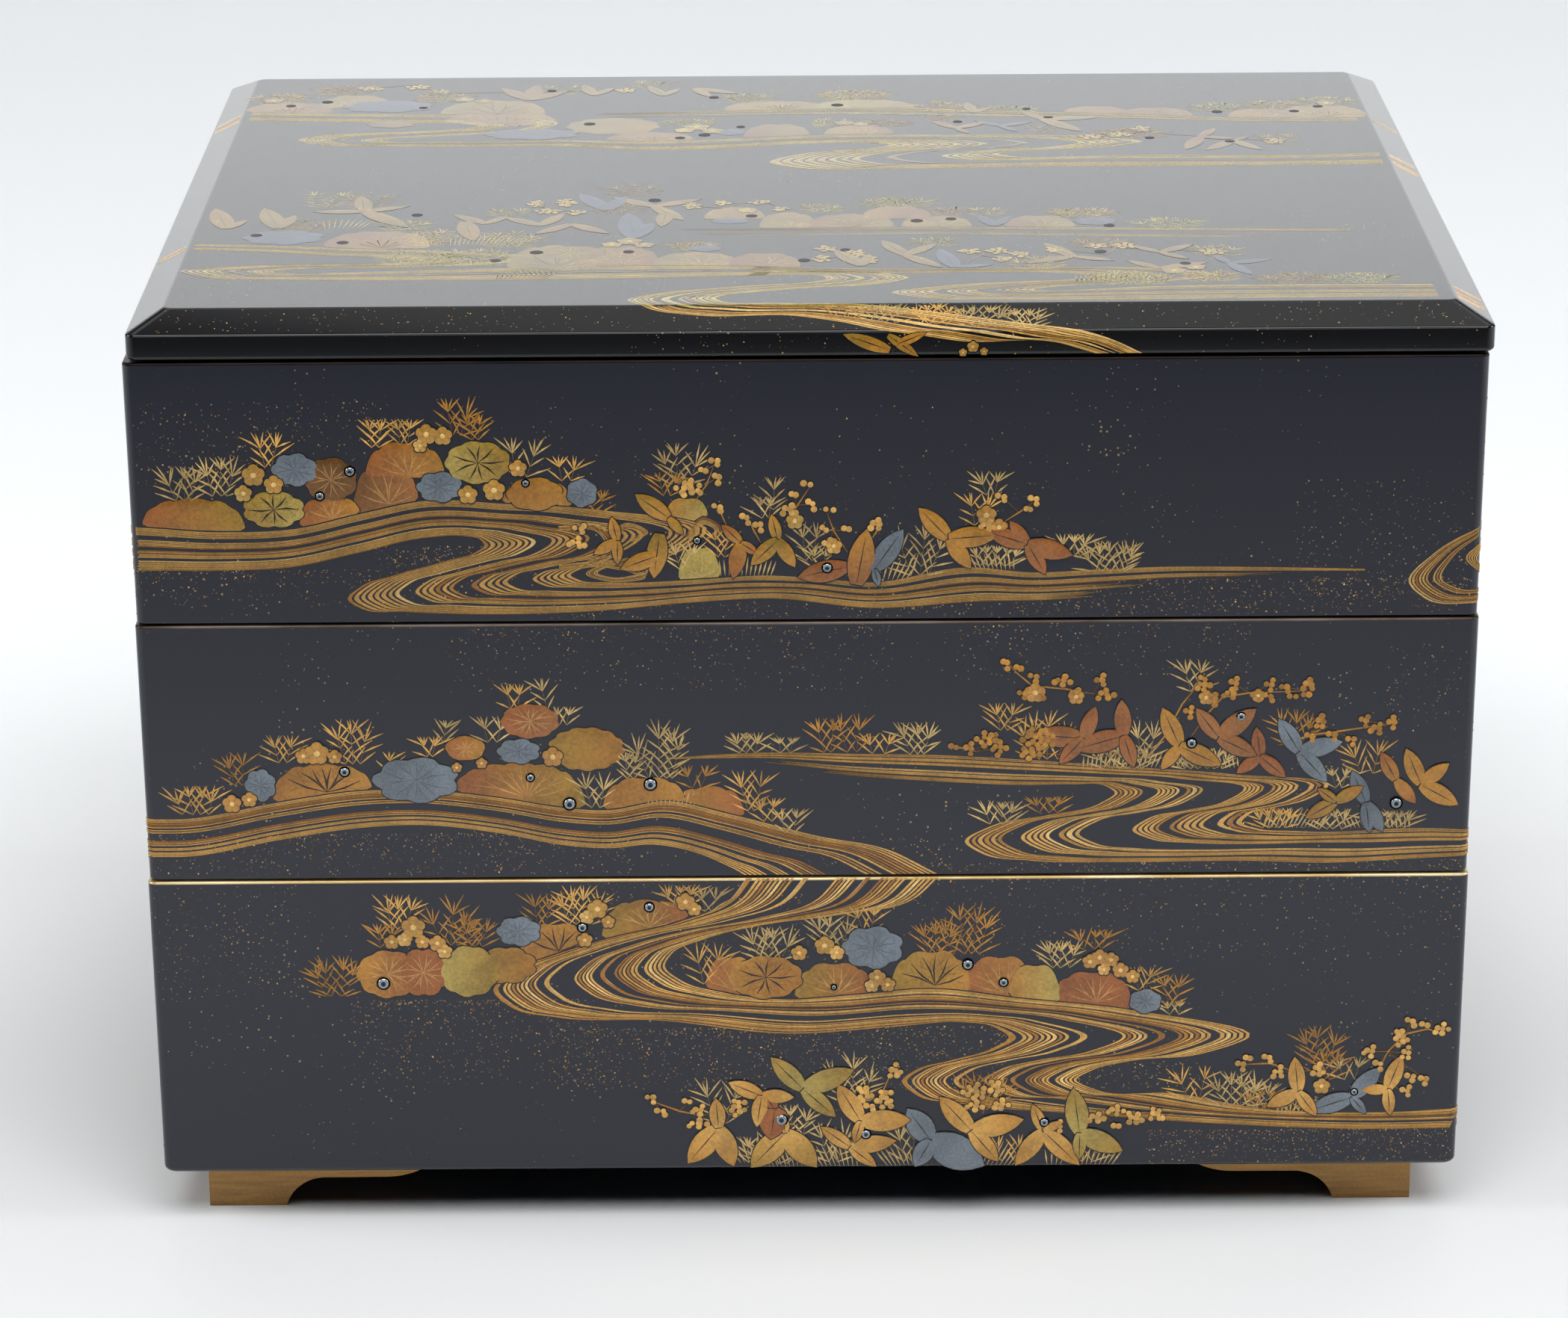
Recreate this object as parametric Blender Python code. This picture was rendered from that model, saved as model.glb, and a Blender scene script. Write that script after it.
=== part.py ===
"""Three-tier lacquer box on four bracket feet, in metres, +Z up.

The origin is the middle of the footprint, on the surface that the feet stand on. The front faces -Y.
The lid and the trays are each one profile carried round a rectangle with rounded corners, and they
rest on each other. Each foot is an L-shaped bracket, mitred at its corner.
"""

from math import cos, pi, radians, sin

import bmesh
import bpy

# Overall size of the trays at the mouth
WIDTH = 0.3000
DEPTH = 0.2400

# Height of each storey, seam to seam, from the bottom
FOOT_HEIGHT = 0.0125
LOWER_HEIGHT = 0.0733
MIDDLE_HEIGHT = 0.0614
UPPER_HEIGHT = 0.0609
LID_BAND = 0.0060
LID_RISE = 0.0040

# Clear gap between pieces that rest on each other
SEAM = 0.0003

# Trays: the wall leans out by DRAFT from the foot of a tray to its mouth
WALL = 0.0050
FLOOR = 0.0030
DRAFT = 0.0004
CORNER = 0.0020
INNER_CORNER = 0.0030
MOUTH_EDGE = 0.0006
INNER_EDGE = 0.0003
FLOOR_FILLET = 0.0015
FOOT_EDGE = 0.0005
BASE_EDGE = 0.0020
BASE_FLOOR = 0.0050
LEAST_CORNER = 0.0004
CORNER_STEPS = 6
EDGE_STEPS = 3

# The step under a tray's floor that sits in the mouth of the tray below
STEP_DEPTH = 0.0025
STEP_PLAY = 0.0004

# Lid: a level top, a broad bevel and a short upright band, with a rim under it
LID_BEVEL = 0.0078
LID_EDGE = 0.0016
LID_ARRIS = 0.0006
LID_PLATE = 0.0043
LID_RIM = 0.0030
LID_PLAY = 0.0014
LID_SLID = 0.0010

# Feet: how far a foot stands in from the sides, and the outline of one leg of the bracket
FOOT_INSET = 0.0096
FOOT_THICK = 0.0090
FOOT_LEG = 0.0520
FOOT_ROUND = 0.0012
WING_HEIGHT = 0.0071
RISE_END = 0.0273
RISE_RUN = 0.0095
RISE_CENTRE = -0.0020
RISE_START = 13
WING_END = 0.0410
CURVE_STEPS = 8

LACQUER = ("black_lacquer", (0.012, 0.012, 0.014, 1.0), 0.10, 0.0)
GOLD = ("gold_lacquer", (0.42, 0.27, 0.09, 1.0), 0.42, 0.7)


def material(name, colour, roughness, metallic):
    """A plain Principled finish."""
    made = bpy.data.materials.new(name)
    made.use_nodes = True
    shader = made.node_tree.nodes["Principled BSDF"]
    shader.inputs["Base Color"].default_value = colour
    shader.inputs["Roughness"].default_value = roughness
    shader.inputs["Metallic"].default_value = metallic
    return made


def finished_object(name, mesh, finish):
    """Put a mesh in the scene under its own name, with its own material."""
    mesh.materials.clear()
    mesh.shade_smooth()
    mesh.set_sharp_from_angle(angle=radians(30))
    part = bpy.data.objects.new(name, mesh)
    bpy.context.scene.collection.objects.link(part)
    mesh.materials.append(material(f"{finish[0]}_{name}", *finish[1:]))
    return part


def arc(inset, height, radius, start, end, steps=EDGE_STEPS):
    """Points of an edge's rounding: 0 degrees points out of the box, 90 up, 180 into the box."""
    points = []
    for step in range(steps + 1):
        angle = radians(start + (end - start) * step / steps)
        points.append((inset - radius * cos(angle), height + radius * sin(angle)))
    return points


def plan_radius(inset):
    """Corner radius of the rectangle that lies this far in from the outer faces."""
    if inset < WALL / 2:
        return max(CORNER - inset, LEAST_CORNER)
    return max(INNER_CORNER + WALL - inset, LEAST_CORNER)


def ring(bm, inset, height):
    """One rectangle with rounded corners, counter-clockwise from above."""
    radius = plan_radius(inset)
    corner_x = WIDTH / 2 - inset - radius
    corner_y = DEPTH / 2 - inset - radius
    made = []
    for turn, (side_x, side_y) in enumerate(((1, 1), (-1, 1), (-1, -1), (1, -1))):
        for step in range(CORNER_STEPS + 1):
            angle = (turn + step / CORNER_STEPS) * pi / 2
            x = side_x * corner_x + radius * cos(angle)
            y = side_y * corner_y + radius * sin(angle)
            made.append(bm.verts.new((x, y, height)))
    return made


def carried_round(name, profile):
    """Carry a profile, from the middle of the underside out and over to the inside, round the box."""
    bm = bmesh.new()
    rings = [ring(bm, inset, height) for inset, height in profile]
    bm.faces.new(reversed(rings[0]))
    for near, far in zip(rings, rings[1:]):
        for index in range(len(near)):
            following = (index + 1) % len(near)
            bm.faces.new((near[index], near[following], far[following], far[index]))
    bm.faces.new(rings[-1])
    mesh = bpy.data.meshes.new(name)
    bm.to_mesh(mesh)
    bm.free()
    return mesh


def tray_inside(height, floor):
    """The mouth of a tray, its inner wall and the fillet down to its floor."""
    profile = arc(MOUTH_EDGE, height - MOUTH_EDGE, MOUTH_EDGE, 0, 90)
    profile += arc(WALL - INNER_EDGE, height - INNER_EDGE, INNER_EDGE, 90, 180, 2)
    profile += arc(WALL + FLOOR_FILLET, floor + FLOOR_FILLET, FLOOR_FILLET, 0, -90)
    return profile


def stacking_tray(name, height, seat):
    """An open tray whose floor steps down into the mouth of the tray below."""
    step_inset = WALL + STEP_PLAY
    profile = [
        (step_inset + FOOT_EDGE, -STEP_DEPTH),
        (step_inset, FOOT_EDGE - STEP_DEPTH),
        (step_inset, 0),
    ]
    profile += arc(DRAFT + FOOT_EDGE, FOOT_EDGE, FOOT_EDGE, -90, 0)
    profile += tray_inside(height - SEAM, FLOOR)
    part = finished_object(name, carried_round(name, profile), LACQUER)
    part.location.z = seat
    return part


def base_tray(name, height, seat):
    """The lowest tray, with a level underside and a well rounded lower edge."""
    profile = arc(DRAFT + BASE_EDGE, BASE_EDGE, BASE_EDGE, -90, 0, 5)
    profile += tray_inside(height - SEAM, BASE_FLOOR)
    part = finished_object(name, carried_round(name, profile), LACQUER)
    part.location.z = seat
    return part


def lid(name, seat):
    """The bevelled lid, hollow beneath, slid a little to one side as far as its play lets it."""
    rim_inset = WALL + LID_PLAY
    top = LID_BAND + LID_RISE
    profile = [(rim_inset + LID_RIM, top - LID_PLATE)]
    profile += [(rim_inset + LID_RIM, -STEP_DEPTH), (rim_inset + FOOT_EDGE, -STEP_DEPTH)]
    profile += [(rim_inset, FOOT_EDGE - STEP_DEPTH), (rim_inset, 0)]
    profile += arc(LID_EDGE, LID_EDGE, LID_EDGE, -90, 0, 4)
    bevel_length = (LID_BEVEL**2 + LID_RISE**2) ** 0.5
    along = (LID_BEVEL / bevel_length, LID_RISE / bevel_length)
    profile += [(0, LID_BAND - LID_ARRIS), (LID_ARRIS * along[0], LID_BAND + LID_ARRIS * along[1])]
    profile += [(LID_BEVEL - LID_ARRIS * along[0], top - LID_ARRIS * along[1]), (LID_BEVEL + LID_ARRIS, top)]
    part = finished_object(name, carried_round(name, profile), LACQUER)
    part.location = (LID_SLID, 0, seat)
    return part


def leg_outline(height):
    """One leg of a foot seen from outside: (distance from the corner, height above the sole)."""
    points = [(0, 0)]
    for step in range(CURVE_STEPS + 1):
        angle = radians(RISE_START + (90 - RISE_START) * step / CURVE_STEPS)
        rise = RISE_CENTRE + (WING_HEIGHT - RISE_CENTRE) * sin(angle)
        points.append((RISE_END - RISE_RUN * cos(angle), max(rise, 0)))
    for step in range(CURVE_STEPS + 1):
        angle = pi / 2 * step / CURVE_STEPS
        along = WING_END + (FOOT_LEG - WING_END) * sin(angle)
        points.append((along, WING_HEIGHT + (height - WING_HEIGHT) * (1 - cos(angle))))
    points.append((0, height))
    return points


def foot_mesh(name, height):
    """An L-shaped bracket with its outer corner at the origin and its legs along +X and +Y."""
    bm = bmesh.new()
    outline = leg_outline(height)
    for crossed in (False, True):
        outer = []
        inner = []
        for along, up in outline:
            inside = max(along, FOOT_THICK)
            outer.append(bm.verts.new((0, along, up) if crossed else (along, 0, up)))
            inner.append(bm.verts.new((FOOT_THICK, inside, up) if crossed else (inside, FOOT_THICK, up)))
        faces = [outer, inner[::-1]]
        for index in range(len(outline) - 1):
            faces.append([outer[index], inner[index], inner[index + 1], outer[index + 1]])
        for corners in faces:
            bm.faces.new(corners[::-1] if crossed else corners)
    bmesh.ops.remove_doubles(bm, verts=bm.verts[:], dist=0.00001)
    rounded = []
    for edge in bm.edges:
        ends = [vert.co for vert in edge.verts]
        upright = all(co.x == 0 and co.y == 0 for co in ends)
        sole = all(co.z == 0 for co in ends)
        outside = all(co.y == 0 for co in ends) or all(co.x == 0 for co in ends)
        if upright or (sole and outside):
            rounded.append(edge)
    bmesh.ops.bevel(bm, geom=rounded, offset=FOOT_ROUND, segments=3, profile=0.5, affect="EDGES")
    mesh = bpy.data.meshes.new(name)
    bm.to_mesh(mesh)
    bm.free()
    return mesh


def feet():
    """Four like brackets, each turned a quarter from the last, one under each corner."""
    places = (
        ("foot_front_left", -1, -1),
        ("foot_front_right", 1, -1),
        ("foot_back_right", 1, 1),
        ("foot_back_left", -1, 1),
    )
    for turn, (name, side_x, side_y) in enumerate(places):
        part = finished_object(name, foot_mesh(name, FOOT_HEIGHT - SEAM), GOLD)
        part.location.x = side_x * (WIDTH / 2 - FOOT_INSET)
        part.location.y = side_y * (DEPTH / 2 - FOOT_INSET)
        part.rotation_euler.z = turn * pi / 2


for old in list(bpy.data.objects):
    bpy.data.objects.remove(old)

feet()
base_tray("lower_tier", LOWER_HEIGHT, FOOT_HEIGHT)
stacking_tray("middle_tier", MIDDLE_HEIGHT, FOOT_HEIGHT + LOWER_HEIGHT)
stacking_tray("upper_tier", UPPER_HEIGHT, FOOT_HEIGHT + LOWER_HEIGHT + MIDDLE_HEIGHT)
lid("lid", FOOT_HEIGHT + LOWER_HEIGHT + MIDDLE_HEIGHT + UPPER_HEIGHT)
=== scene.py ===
"""The looks of a three-tier lacquer box on gilt bracket feet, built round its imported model.

Lengths in the sections are millimetres, and MM turns them to the frame's metres. The front faces -Y.
"""

from math import cos, hypot, pi, radians, sin, sqrt
from random import Random

import bmesh
import bpy
from mathutils import Matrix, Vector


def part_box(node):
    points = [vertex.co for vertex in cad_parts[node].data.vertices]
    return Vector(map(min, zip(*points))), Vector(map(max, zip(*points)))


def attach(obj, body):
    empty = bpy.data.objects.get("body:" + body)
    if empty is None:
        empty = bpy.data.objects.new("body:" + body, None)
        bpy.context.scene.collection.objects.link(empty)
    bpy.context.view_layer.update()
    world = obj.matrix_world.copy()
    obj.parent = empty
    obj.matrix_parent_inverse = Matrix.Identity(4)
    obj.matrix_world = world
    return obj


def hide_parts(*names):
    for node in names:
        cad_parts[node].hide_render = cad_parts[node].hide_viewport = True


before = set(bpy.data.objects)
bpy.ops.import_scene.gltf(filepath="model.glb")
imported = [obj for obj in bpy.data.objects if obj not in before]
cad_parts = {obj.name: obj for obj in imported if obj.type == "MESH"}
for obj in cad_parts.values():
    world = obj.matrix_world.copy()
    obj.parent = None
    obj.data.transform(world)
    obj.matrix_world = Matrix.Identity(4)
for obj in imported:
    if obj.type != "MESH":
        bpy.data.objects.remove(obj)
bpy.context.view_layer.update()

MM = 0.001

# The studio: white paper that lies in front of the box and sweeps up into a bright backdrop far behind
# it, with a broad soft light high in front, a narrow low one, one at each side and one over the back.
# Black lacquer shows little of its own, so these are what its walls and its lid mirror.
CAMERA_PLACE = (-6.291 * MM, -1191.405 * MM, 515.65 * MM)
CAMERA_PITCH = 19.4073
CAMERA_YAW = 0.0582
CAMERA_ROLL = -0.3755
LENS = 116.718
SENSOR_WIDTH = 36
NEAREST = 0.05
FLOOR_FRONT = -0.82
FLOOR_BACK = 1.95
FLOOR_HALF_WIDTH = 2.2
SWEEP_RADIUS = 0.30
SWEEP_STEPS = 12
BACKDROP_TOP = 1.75
TONED_LENGTH = 2.17
GLOW_HEIGHT = 1.27
DIM_ROOM = 0.13
MAIN_LIGHT = {"place": (0.1, -1.05, 1.85), "aim": (0, 0, 0.05), "size": (1.9, 1.1), "power": 33}
LOW_LIGHT = {"place": (0, -1.7, 0.42), "aim": (0, 0, 0.05), "size": (1.2, 0.3), "power": 5.0}
SIDE_LIGHT = {"place": (1.8, -0.2, 0.9), "aim": (0.6, 0, 0.0), "size": (0.9, 1.1), "power": 20}
OVERHEAD_LIGHT = {"place": (0.1, 1.165, 1.95), "aim": (0, 0.8, 0.0), "size": (2.0, 1.4), "power": 7.0}
# Painted shade on the floor paper, from its front end backwards: dimmer at the front, darker round the box.
FLOOR_PAINTED_SHADE = (
    (0.0, 0.3), (1.0, 0.98), (0.14, 0.6), (0.24, 0.83), (0.31, 0.82), (0.345, 0.83), (0.42, 0.96),
    (0.6, 0.98),
)
BACKDROP_GLOW = ((0.02, 0.0), (1.0, 0.35), (0.13, 0.33), (0.305, 0.55), (0.53, 0.65), (0.71, 0.59))


def linear(colour):
    """An sRGB hex colour as the linear RGBA that shaders take."""
    channels = [int(colour[i:i + 2], 16) / 255 for i in (1, 3, 5)]
    return [c / 12.92 if c <= 0.04045 else ((c + 0.055) / 1.055) ** 2.4 for c in channels] + [1]


def node(tree, kind, inputs=(), **settings):
    """Add a node, set its properties, and set or link its inputs."""
    made = tree.nodes.new(kind)
    for name, value in settings.items():
        setattr(made, name, value)
    for socket, value in dict(inputs).items():
        if isinstance(value, bpy.types.NodeSocket):
            tree.links.new(value, made.inputs[socket])
        else:
            made.inputs[socket].default_value = value
    return made


def finish(name, **inputs):
    """A Principled material, with its plain values set on the shader's own sockets."""
    made = bpy.data.materials.new(name)
    made.use_nodes = True
    shader = made.node_tree.nodes["Principled BSDF"]
    for socket, value in inputs.items():
        shader.inputs[socket.replace("_", " ").title().replace("Ior", "IOR")].default_value = value
    return made, made.node_tree, shader


def curve(tree, value, points):
    """A smooth curve that turns a value from 0 to 1 into another; its two end points come first."""
    made = node(tree, "ShaderNodeFloatCurve", {"Value": value})
    for index, (x, y) in enumerate(points):
        if index < 2:
            made.mapping.curves[0].points[index].location = (x, y)
        else:
            made.mapping.curves[0].points.new(x, y)
    made.mapping.update()
    return made


def pick_edges(piece, wanted):
    """In edit mode, select these edges of a piece and no others."""
    bpy.ops.mesh.select_all(action="DESELECT")
    shape = bmesh.from_edit_mesh(piece.data)
    for edge in shape.edges:
        if wanted(edge):
            edge.select_set(True)
    bmesh.update_edit_mesh(piece.data)


camera = bpy.data.objects.new("camera", bpy.data.cameras.new("camera"))
bpy.context.scene.collection.objects.link(camera)
camera.data.lens = LENS
camera.data.sensor_fit = "HORIZONTAL"
camera.data.sensor_width = SENSOR_WIDTH
camera.data.clip_start = NEAREST
turned = Matrix.Rotation(radians(-CAMERA_YAW), 4, "Z") @ Matrix.Rotation(radians(90 - CAMERA_PITCH), 4, "X")
rolled = Matrix.Rotation(radians(CAMERA_ROLL), 4, "Z")
camera.matrix_world = Matrix.Translation(CAMERA_PLACE) @ turned @ rolled
bpy.context.scene.camera = camera
bpy.context.scene.view_settings.view_transform = "Standard"

bpy.ops.object.select_all(action="DESELECT")
bpy.ops.mesh.primitive_plane_add(size=2, location=(0, 0, 0))
floor = bpy.context.object
floor.name = "studio_floor"
bpy.ops.object.mode_set(mode="EDIT")
bpy.ops.transform.resize(value=(FLOOR_HALF_WIDTH, (FLOOR_BACK - FLOOR_FRONT) / 2, 1))
bpy.ops.transform.translate(value=(0, (FLOOR_BACK + FLOOR_FRONT) / 2, 0))
pick_edges(floor, lambda edge: all(vert.co.y > FLOOR_BACK - 0.01 for vert in edge.verts))
for step in range(SWEEP_STEPS):
    here, there = (radians(90 * (step + ahead) / SWEEP_STEPS) for ahead in (0, 1))
    move = (0, SWEEP_RADIUS * (sin(there) - sin(here)), SWEEP_RADIUS * (cos(here) - cos(there)))
    bpy.ops.mesh.extrude_region_move(TRANSFORM_OT_translate={"value": move})
bpy.ops.mesh.extrude_region_move(TRANSFORM_OT_translate={"value": (0, 0, BACKDROP_TOP - SWEEP_RADIUS)})
bpy.ops.object.mode_set(mode="OBJECT")
bpy.ops.object.shade_smooth()

# Matt paper, its colour carrying painted shade along its length: dimmer towards its front end and a
# little darker round and under the box. It glows where it stands upright, so that the backdrop's
# reflection is soft and has no edge.
paper, tree, shader = finish("matt_white_backdrop_paper", roughness=0.9)
coordinates = node(tree, "ShaderNodeTexCoord")
heights = node(tree, "ShaderNodeSeparateXYZ", {"Vector": coordinates.outputs["Object"]})
along = node(
    tree, "ShaderNodeMapRange",
    {"Value": heights.outputs["Y"], "From Min": FLOOR_FRONT, "From Max": FLOOR_FRONT + TONED_LENGTH},
)
painted_floor_shade = curve(tree, along.outputs["Result"], FLOOR_PAINTED_SHADE)
shaded_paper_colour = node(
    tree, "ShaderNodeVectorMath",
    {0: linear("#fafcfe")[:3], 1: painted_floor_shade.outputs["Value"]}, operation="MULTIPLY",
)
tree.links.new(shaded_paper_colour.outputs["Vector"], shader.inputs["Base Color"])
up = node(tree, "ShaderNodeMath", {0: heights.outputs["Z"], 1: GLOW_HEIGHT}, operation="DIVIDE")
glow = curve(tree, up.outputs["Value"], BACKDROP_GLOW)
shader.inputs["Emission Color"].default_value = linear("#ffffff")
tree.links.new(glow.outputs["Value"], shader.inputs["Emission Strength"])
floor.data.materials.append(paper)


def soft_light(name, place, aim, size, power):
    """A rectangular soft light, turned to what it lights."""
    lamp = bpy.data.lights.new(name, "AREA")
    lamp.shape = "RECTANGLE"
    lamp.size, lamp.size_y = size
    lamp.energy = power
    made = bpy.data.objects.new(name, lamp)
    bpy.context.scene.collection.objects.link(made)
    made.location = place
    made.rotation_euler = (Vector(aim) - Vector(place)).to_track_quat("-Z", "Y").to_euler()
    return made


soft_light("main_light", **MAIN_LIGHT)
soft_light("low_light", **LOW_LIGHT)
for side in (-1, 1):
    place = (side * SIDE_LIGHT["place"][0], *SIDE_LIGHT["place"][1:])
    aim = (side * SIDE_LIGHT["aim"][0], *SIDE_LIGHT["aim"][1:])
    soft_light(f"side_light_{side}", place, aim, SIDE_LIGHT["size"], SIDE_LIGHT["power"])
soft_light("overhead_light", **OVERHEAD_LIGHT)

world = bpy.data.worlds.new("dim_room")
world.use_nodes = True
world.node_tree.nodes["Background"].inputs["Color"].default_value = (DIM_ROOM, DIM_ROOM, DIM_ROOM, 1)
bpy.context.scene.world = world

# The trays: thin boards joined into boxes, clothed and lacquered black in many rubbed coats, so
# that every edge is a little rounded. Each mouth was edged in gold powder, bright on the lowest one,
# duller on the middle one, and laid near black on the upper one as a painted shadow under the lid.
# A tray's underside steps down into the mouth of the one below.
WIDTH = 300.0
DEPTH = 240.0
CORNER = 2.0
CORNER_STEPS = 8
WALL = 5.0
DRAFT = 0.4
TRAY_FLOOR = 3.0
BASE_FLOOR = 5.0
STEP_PLAY = 0.4
STEP_DEPTH = 2.5
MOUTH_EDGE = 0.6
INNER_EDGE = 0.3
FLOOR_FILLET = 1.5
FOOT_EDGE = 0.5
BASE_EDGE = 1.9
GOLD_LIP = 0.75
RUBBED = 22
SHARP_FROM = 40

# Each mouth's gold: where it is freshest, and where it is most worn. The middle one is laid duller, and the
# upper one near black, a painted shadow under the lid.
RIM_GOLD_AND_SHADE = {
    "lower_tier": ("#d2bc92", "#b09562"),
    "middle_tier": ("#5c534c", "#3a3129"),
    "upper_tier": ("#1c120d", "#050404"),
}


def arc(inset, height, radius, start, end, steps=5):
    """Points of a rounded edge: 0 degrees points out of the box, 90 up, 180 into the box."""
    points = []
    for step in range(steps + 1):
        angle = radians(start + (end - start) * step / steps)
        points.append((inset - radius * cos(angle), height + radius * sin(angle)))
    return points


def draw_up(name, profile, shift=0.0):
    """Raise a plate with rounded corners into a closed box, step by step along a profile."""
    bpy.ops.object.select_all(action="DESELECT")
    inset, height = profile[0]
    bpy.ops.mesh.primitive_plane_add(size=1, location=(0, 0, 0))
    made = bpy.context.object
    made.name = name
    bpy.ops.object.mode_set(mode="EDIT")
    bpy.ops.transform.resize(value=((WIDTH - 2 * inset) * MM, (DEPTH - 2 * inset) * MM, 1))
    bpy.ops.transform.translate(value=(shift * MM, 0, height * MM))
    bpy.ops.mesh.bevel(offset=CORNER * MM, offset_type="OFFSET", segments=CORNER_STEPS, affect="VERTICES")
    for new_inset, new_height in profile[1:]:
        rise = (0, 0, (new_height - height) * MM)
        bpy.ops.mesh.extrude_region_move(TRANSFORM_OT_translate={"value": rise})
        ratio = [(size - 2 * new_inset) / (size - 2 * inset) for size in (WIDTH, DEPTH)]
        middle = (shift * MM, 0, new_height * MM)
        bpy.ops.transform.resize(value=(*ratio, 1), center_override=middle)
        inset, height = new_inset, new_height
    bpy.ops.mesh.select_all(action="SELECT")
    bpy.ops.mesh.normals_make_consistent(inside=False)
    bpy.ops.object.mode_set(mode="OBJECT")
    bpy.ops.object.shade_smooth_by_angle(angle=radians(SHARP_FROM))
    bpy.ops.object.modifier_add(type="WEIGHTED_NORMAL")
    made.modifiers[-1].keep_sharp = True
    bpy.ops.object.modifier_apply(modifier=made.modifiers[-1].name)
    return made


def tray_profile(foot, top, floor_height, edge):
    """Foot edge, outer wall, mouth, inner wall and floor of a tray, as (inset, height)."""
    wall = arc(DRAFT + edge, foot + edge, edge, -90, 0, 7)
    mouth = arc(MOUTH_EDGE, top - MOUTH_EDGE, MOUTH_EDGE, 0, 90)
    inner = arc(WALL - INNER_EDGE, top - INNER_EDGE, INNER_EDGE, 90, 180, 3)
    fillet = arc(WALL + FLOOR_FILLET, foot + floor_height + FLOOR_FILLET, FLOOR_FILLET, 0, -90)
    return wall + mouth + inner + fillet


feet_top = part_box("foot_front_left")[1].z / MM
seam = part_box("lower_tier")[0].z / MM - feet_top
tops = {name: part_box(name)[1].z / MM for name in RIM_GOLD_AND_SHADE}
foots = {"lower_tier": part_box("lower_tier")[0].z / MM}
foots["middle_tier"] = tops["lower_tier"] + seam
foots["upper_tier"] = tops["middle_tier"] + seam

# Black urushi lacquer: a hard, clear polish with the gloss of its refractive index alone. The trays
# are laid a lighter bluish black, and the lid, from the top tray's mouth up, a deeper black, as painted
# shade on its bevel and band. Flecks of gold dust float in the upper coats, denser in drifts, and show
# only close to.
DRIFT = 26
FLECK = 1.3
LID_BLEND = 0.3
urushi, tree, shader = finish("black_urushi_lacquer", roughness=0.10, ior=1.49)
place_in = node(tree, "ShaderNodeTexCoord").outputs["Object"]
drift = node(tree, "ShaderNodeTexNoise", {"Vector": place_in, "Scale": 1 / (DRIFT * MM), "Detail": 2.0})
flecks = node(tree, "ShaderNodeTexVoronoi", {"Vector": place_in, "Scale": 1 / (FLECK * MM)})
size_of = node(tree, "ShaderNodeSeparateColor", {"Color": flecks.outputs["Color"]})
enough = node(
    tree, "ShaderNodeMapRange",
    {"Value": drift.outputs["Fac"], "From Min": 0.42, "From Max": 0.66, "To Min": 0.02, "To Max": 0.22},
)
reach = node(
    tree, "ShaderNodeMath", {0: enough.outputs["Result"], 1: size_of.outputs["Red"]}, operation="MULTIPLY"
)
inside = node(
    tree, "ShaderNodeMath", {0: flecks.outputs["Distance"], 1: reach.outputs["Value"]}, operation="LESS_THAN"
)
fleck_tone = node(
    tree, "ShaderNodeMix",
    {"Factor": size_of.outputs["Green"], "A": linear("#5b5545"), "B": linear("#8d7a4e")}, data_type="RGBA",
)
height = node(tree, "ShaderNodeSeparateXYZ", {"Vector": place_in})
mouth, above = tops["upper_tier"] * MM, (tops["upper_tier"] + LID_BLEND) * MM
lid_share = node(
    tree, "ShaderNodeMapRange", {"Value": height.outputs["Z"], "From Min": mouth, "From Max": above}
)
# Painted shade: the lid is laid a deeper black than the trays.
black_with_lid_shade = node(
    tree, "ShaderNodeMix",
    {"Factor": lid_share.outputs["Result"], "A": linear("#1a1c26"), "B": linear("#07080b")},
    data_type="RGBA",
)
black = node(
    tree, "ShaderNodeMix",
    {"Factor": inside.outputs["Value"], "A": black_with_lid_shade.outputs[2], "B": fleck_tone.outputs[2]}, data_type="RGBA",
)
tree.links.new(black.outputs[2], shader.inputs["Base Color"])

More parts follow.
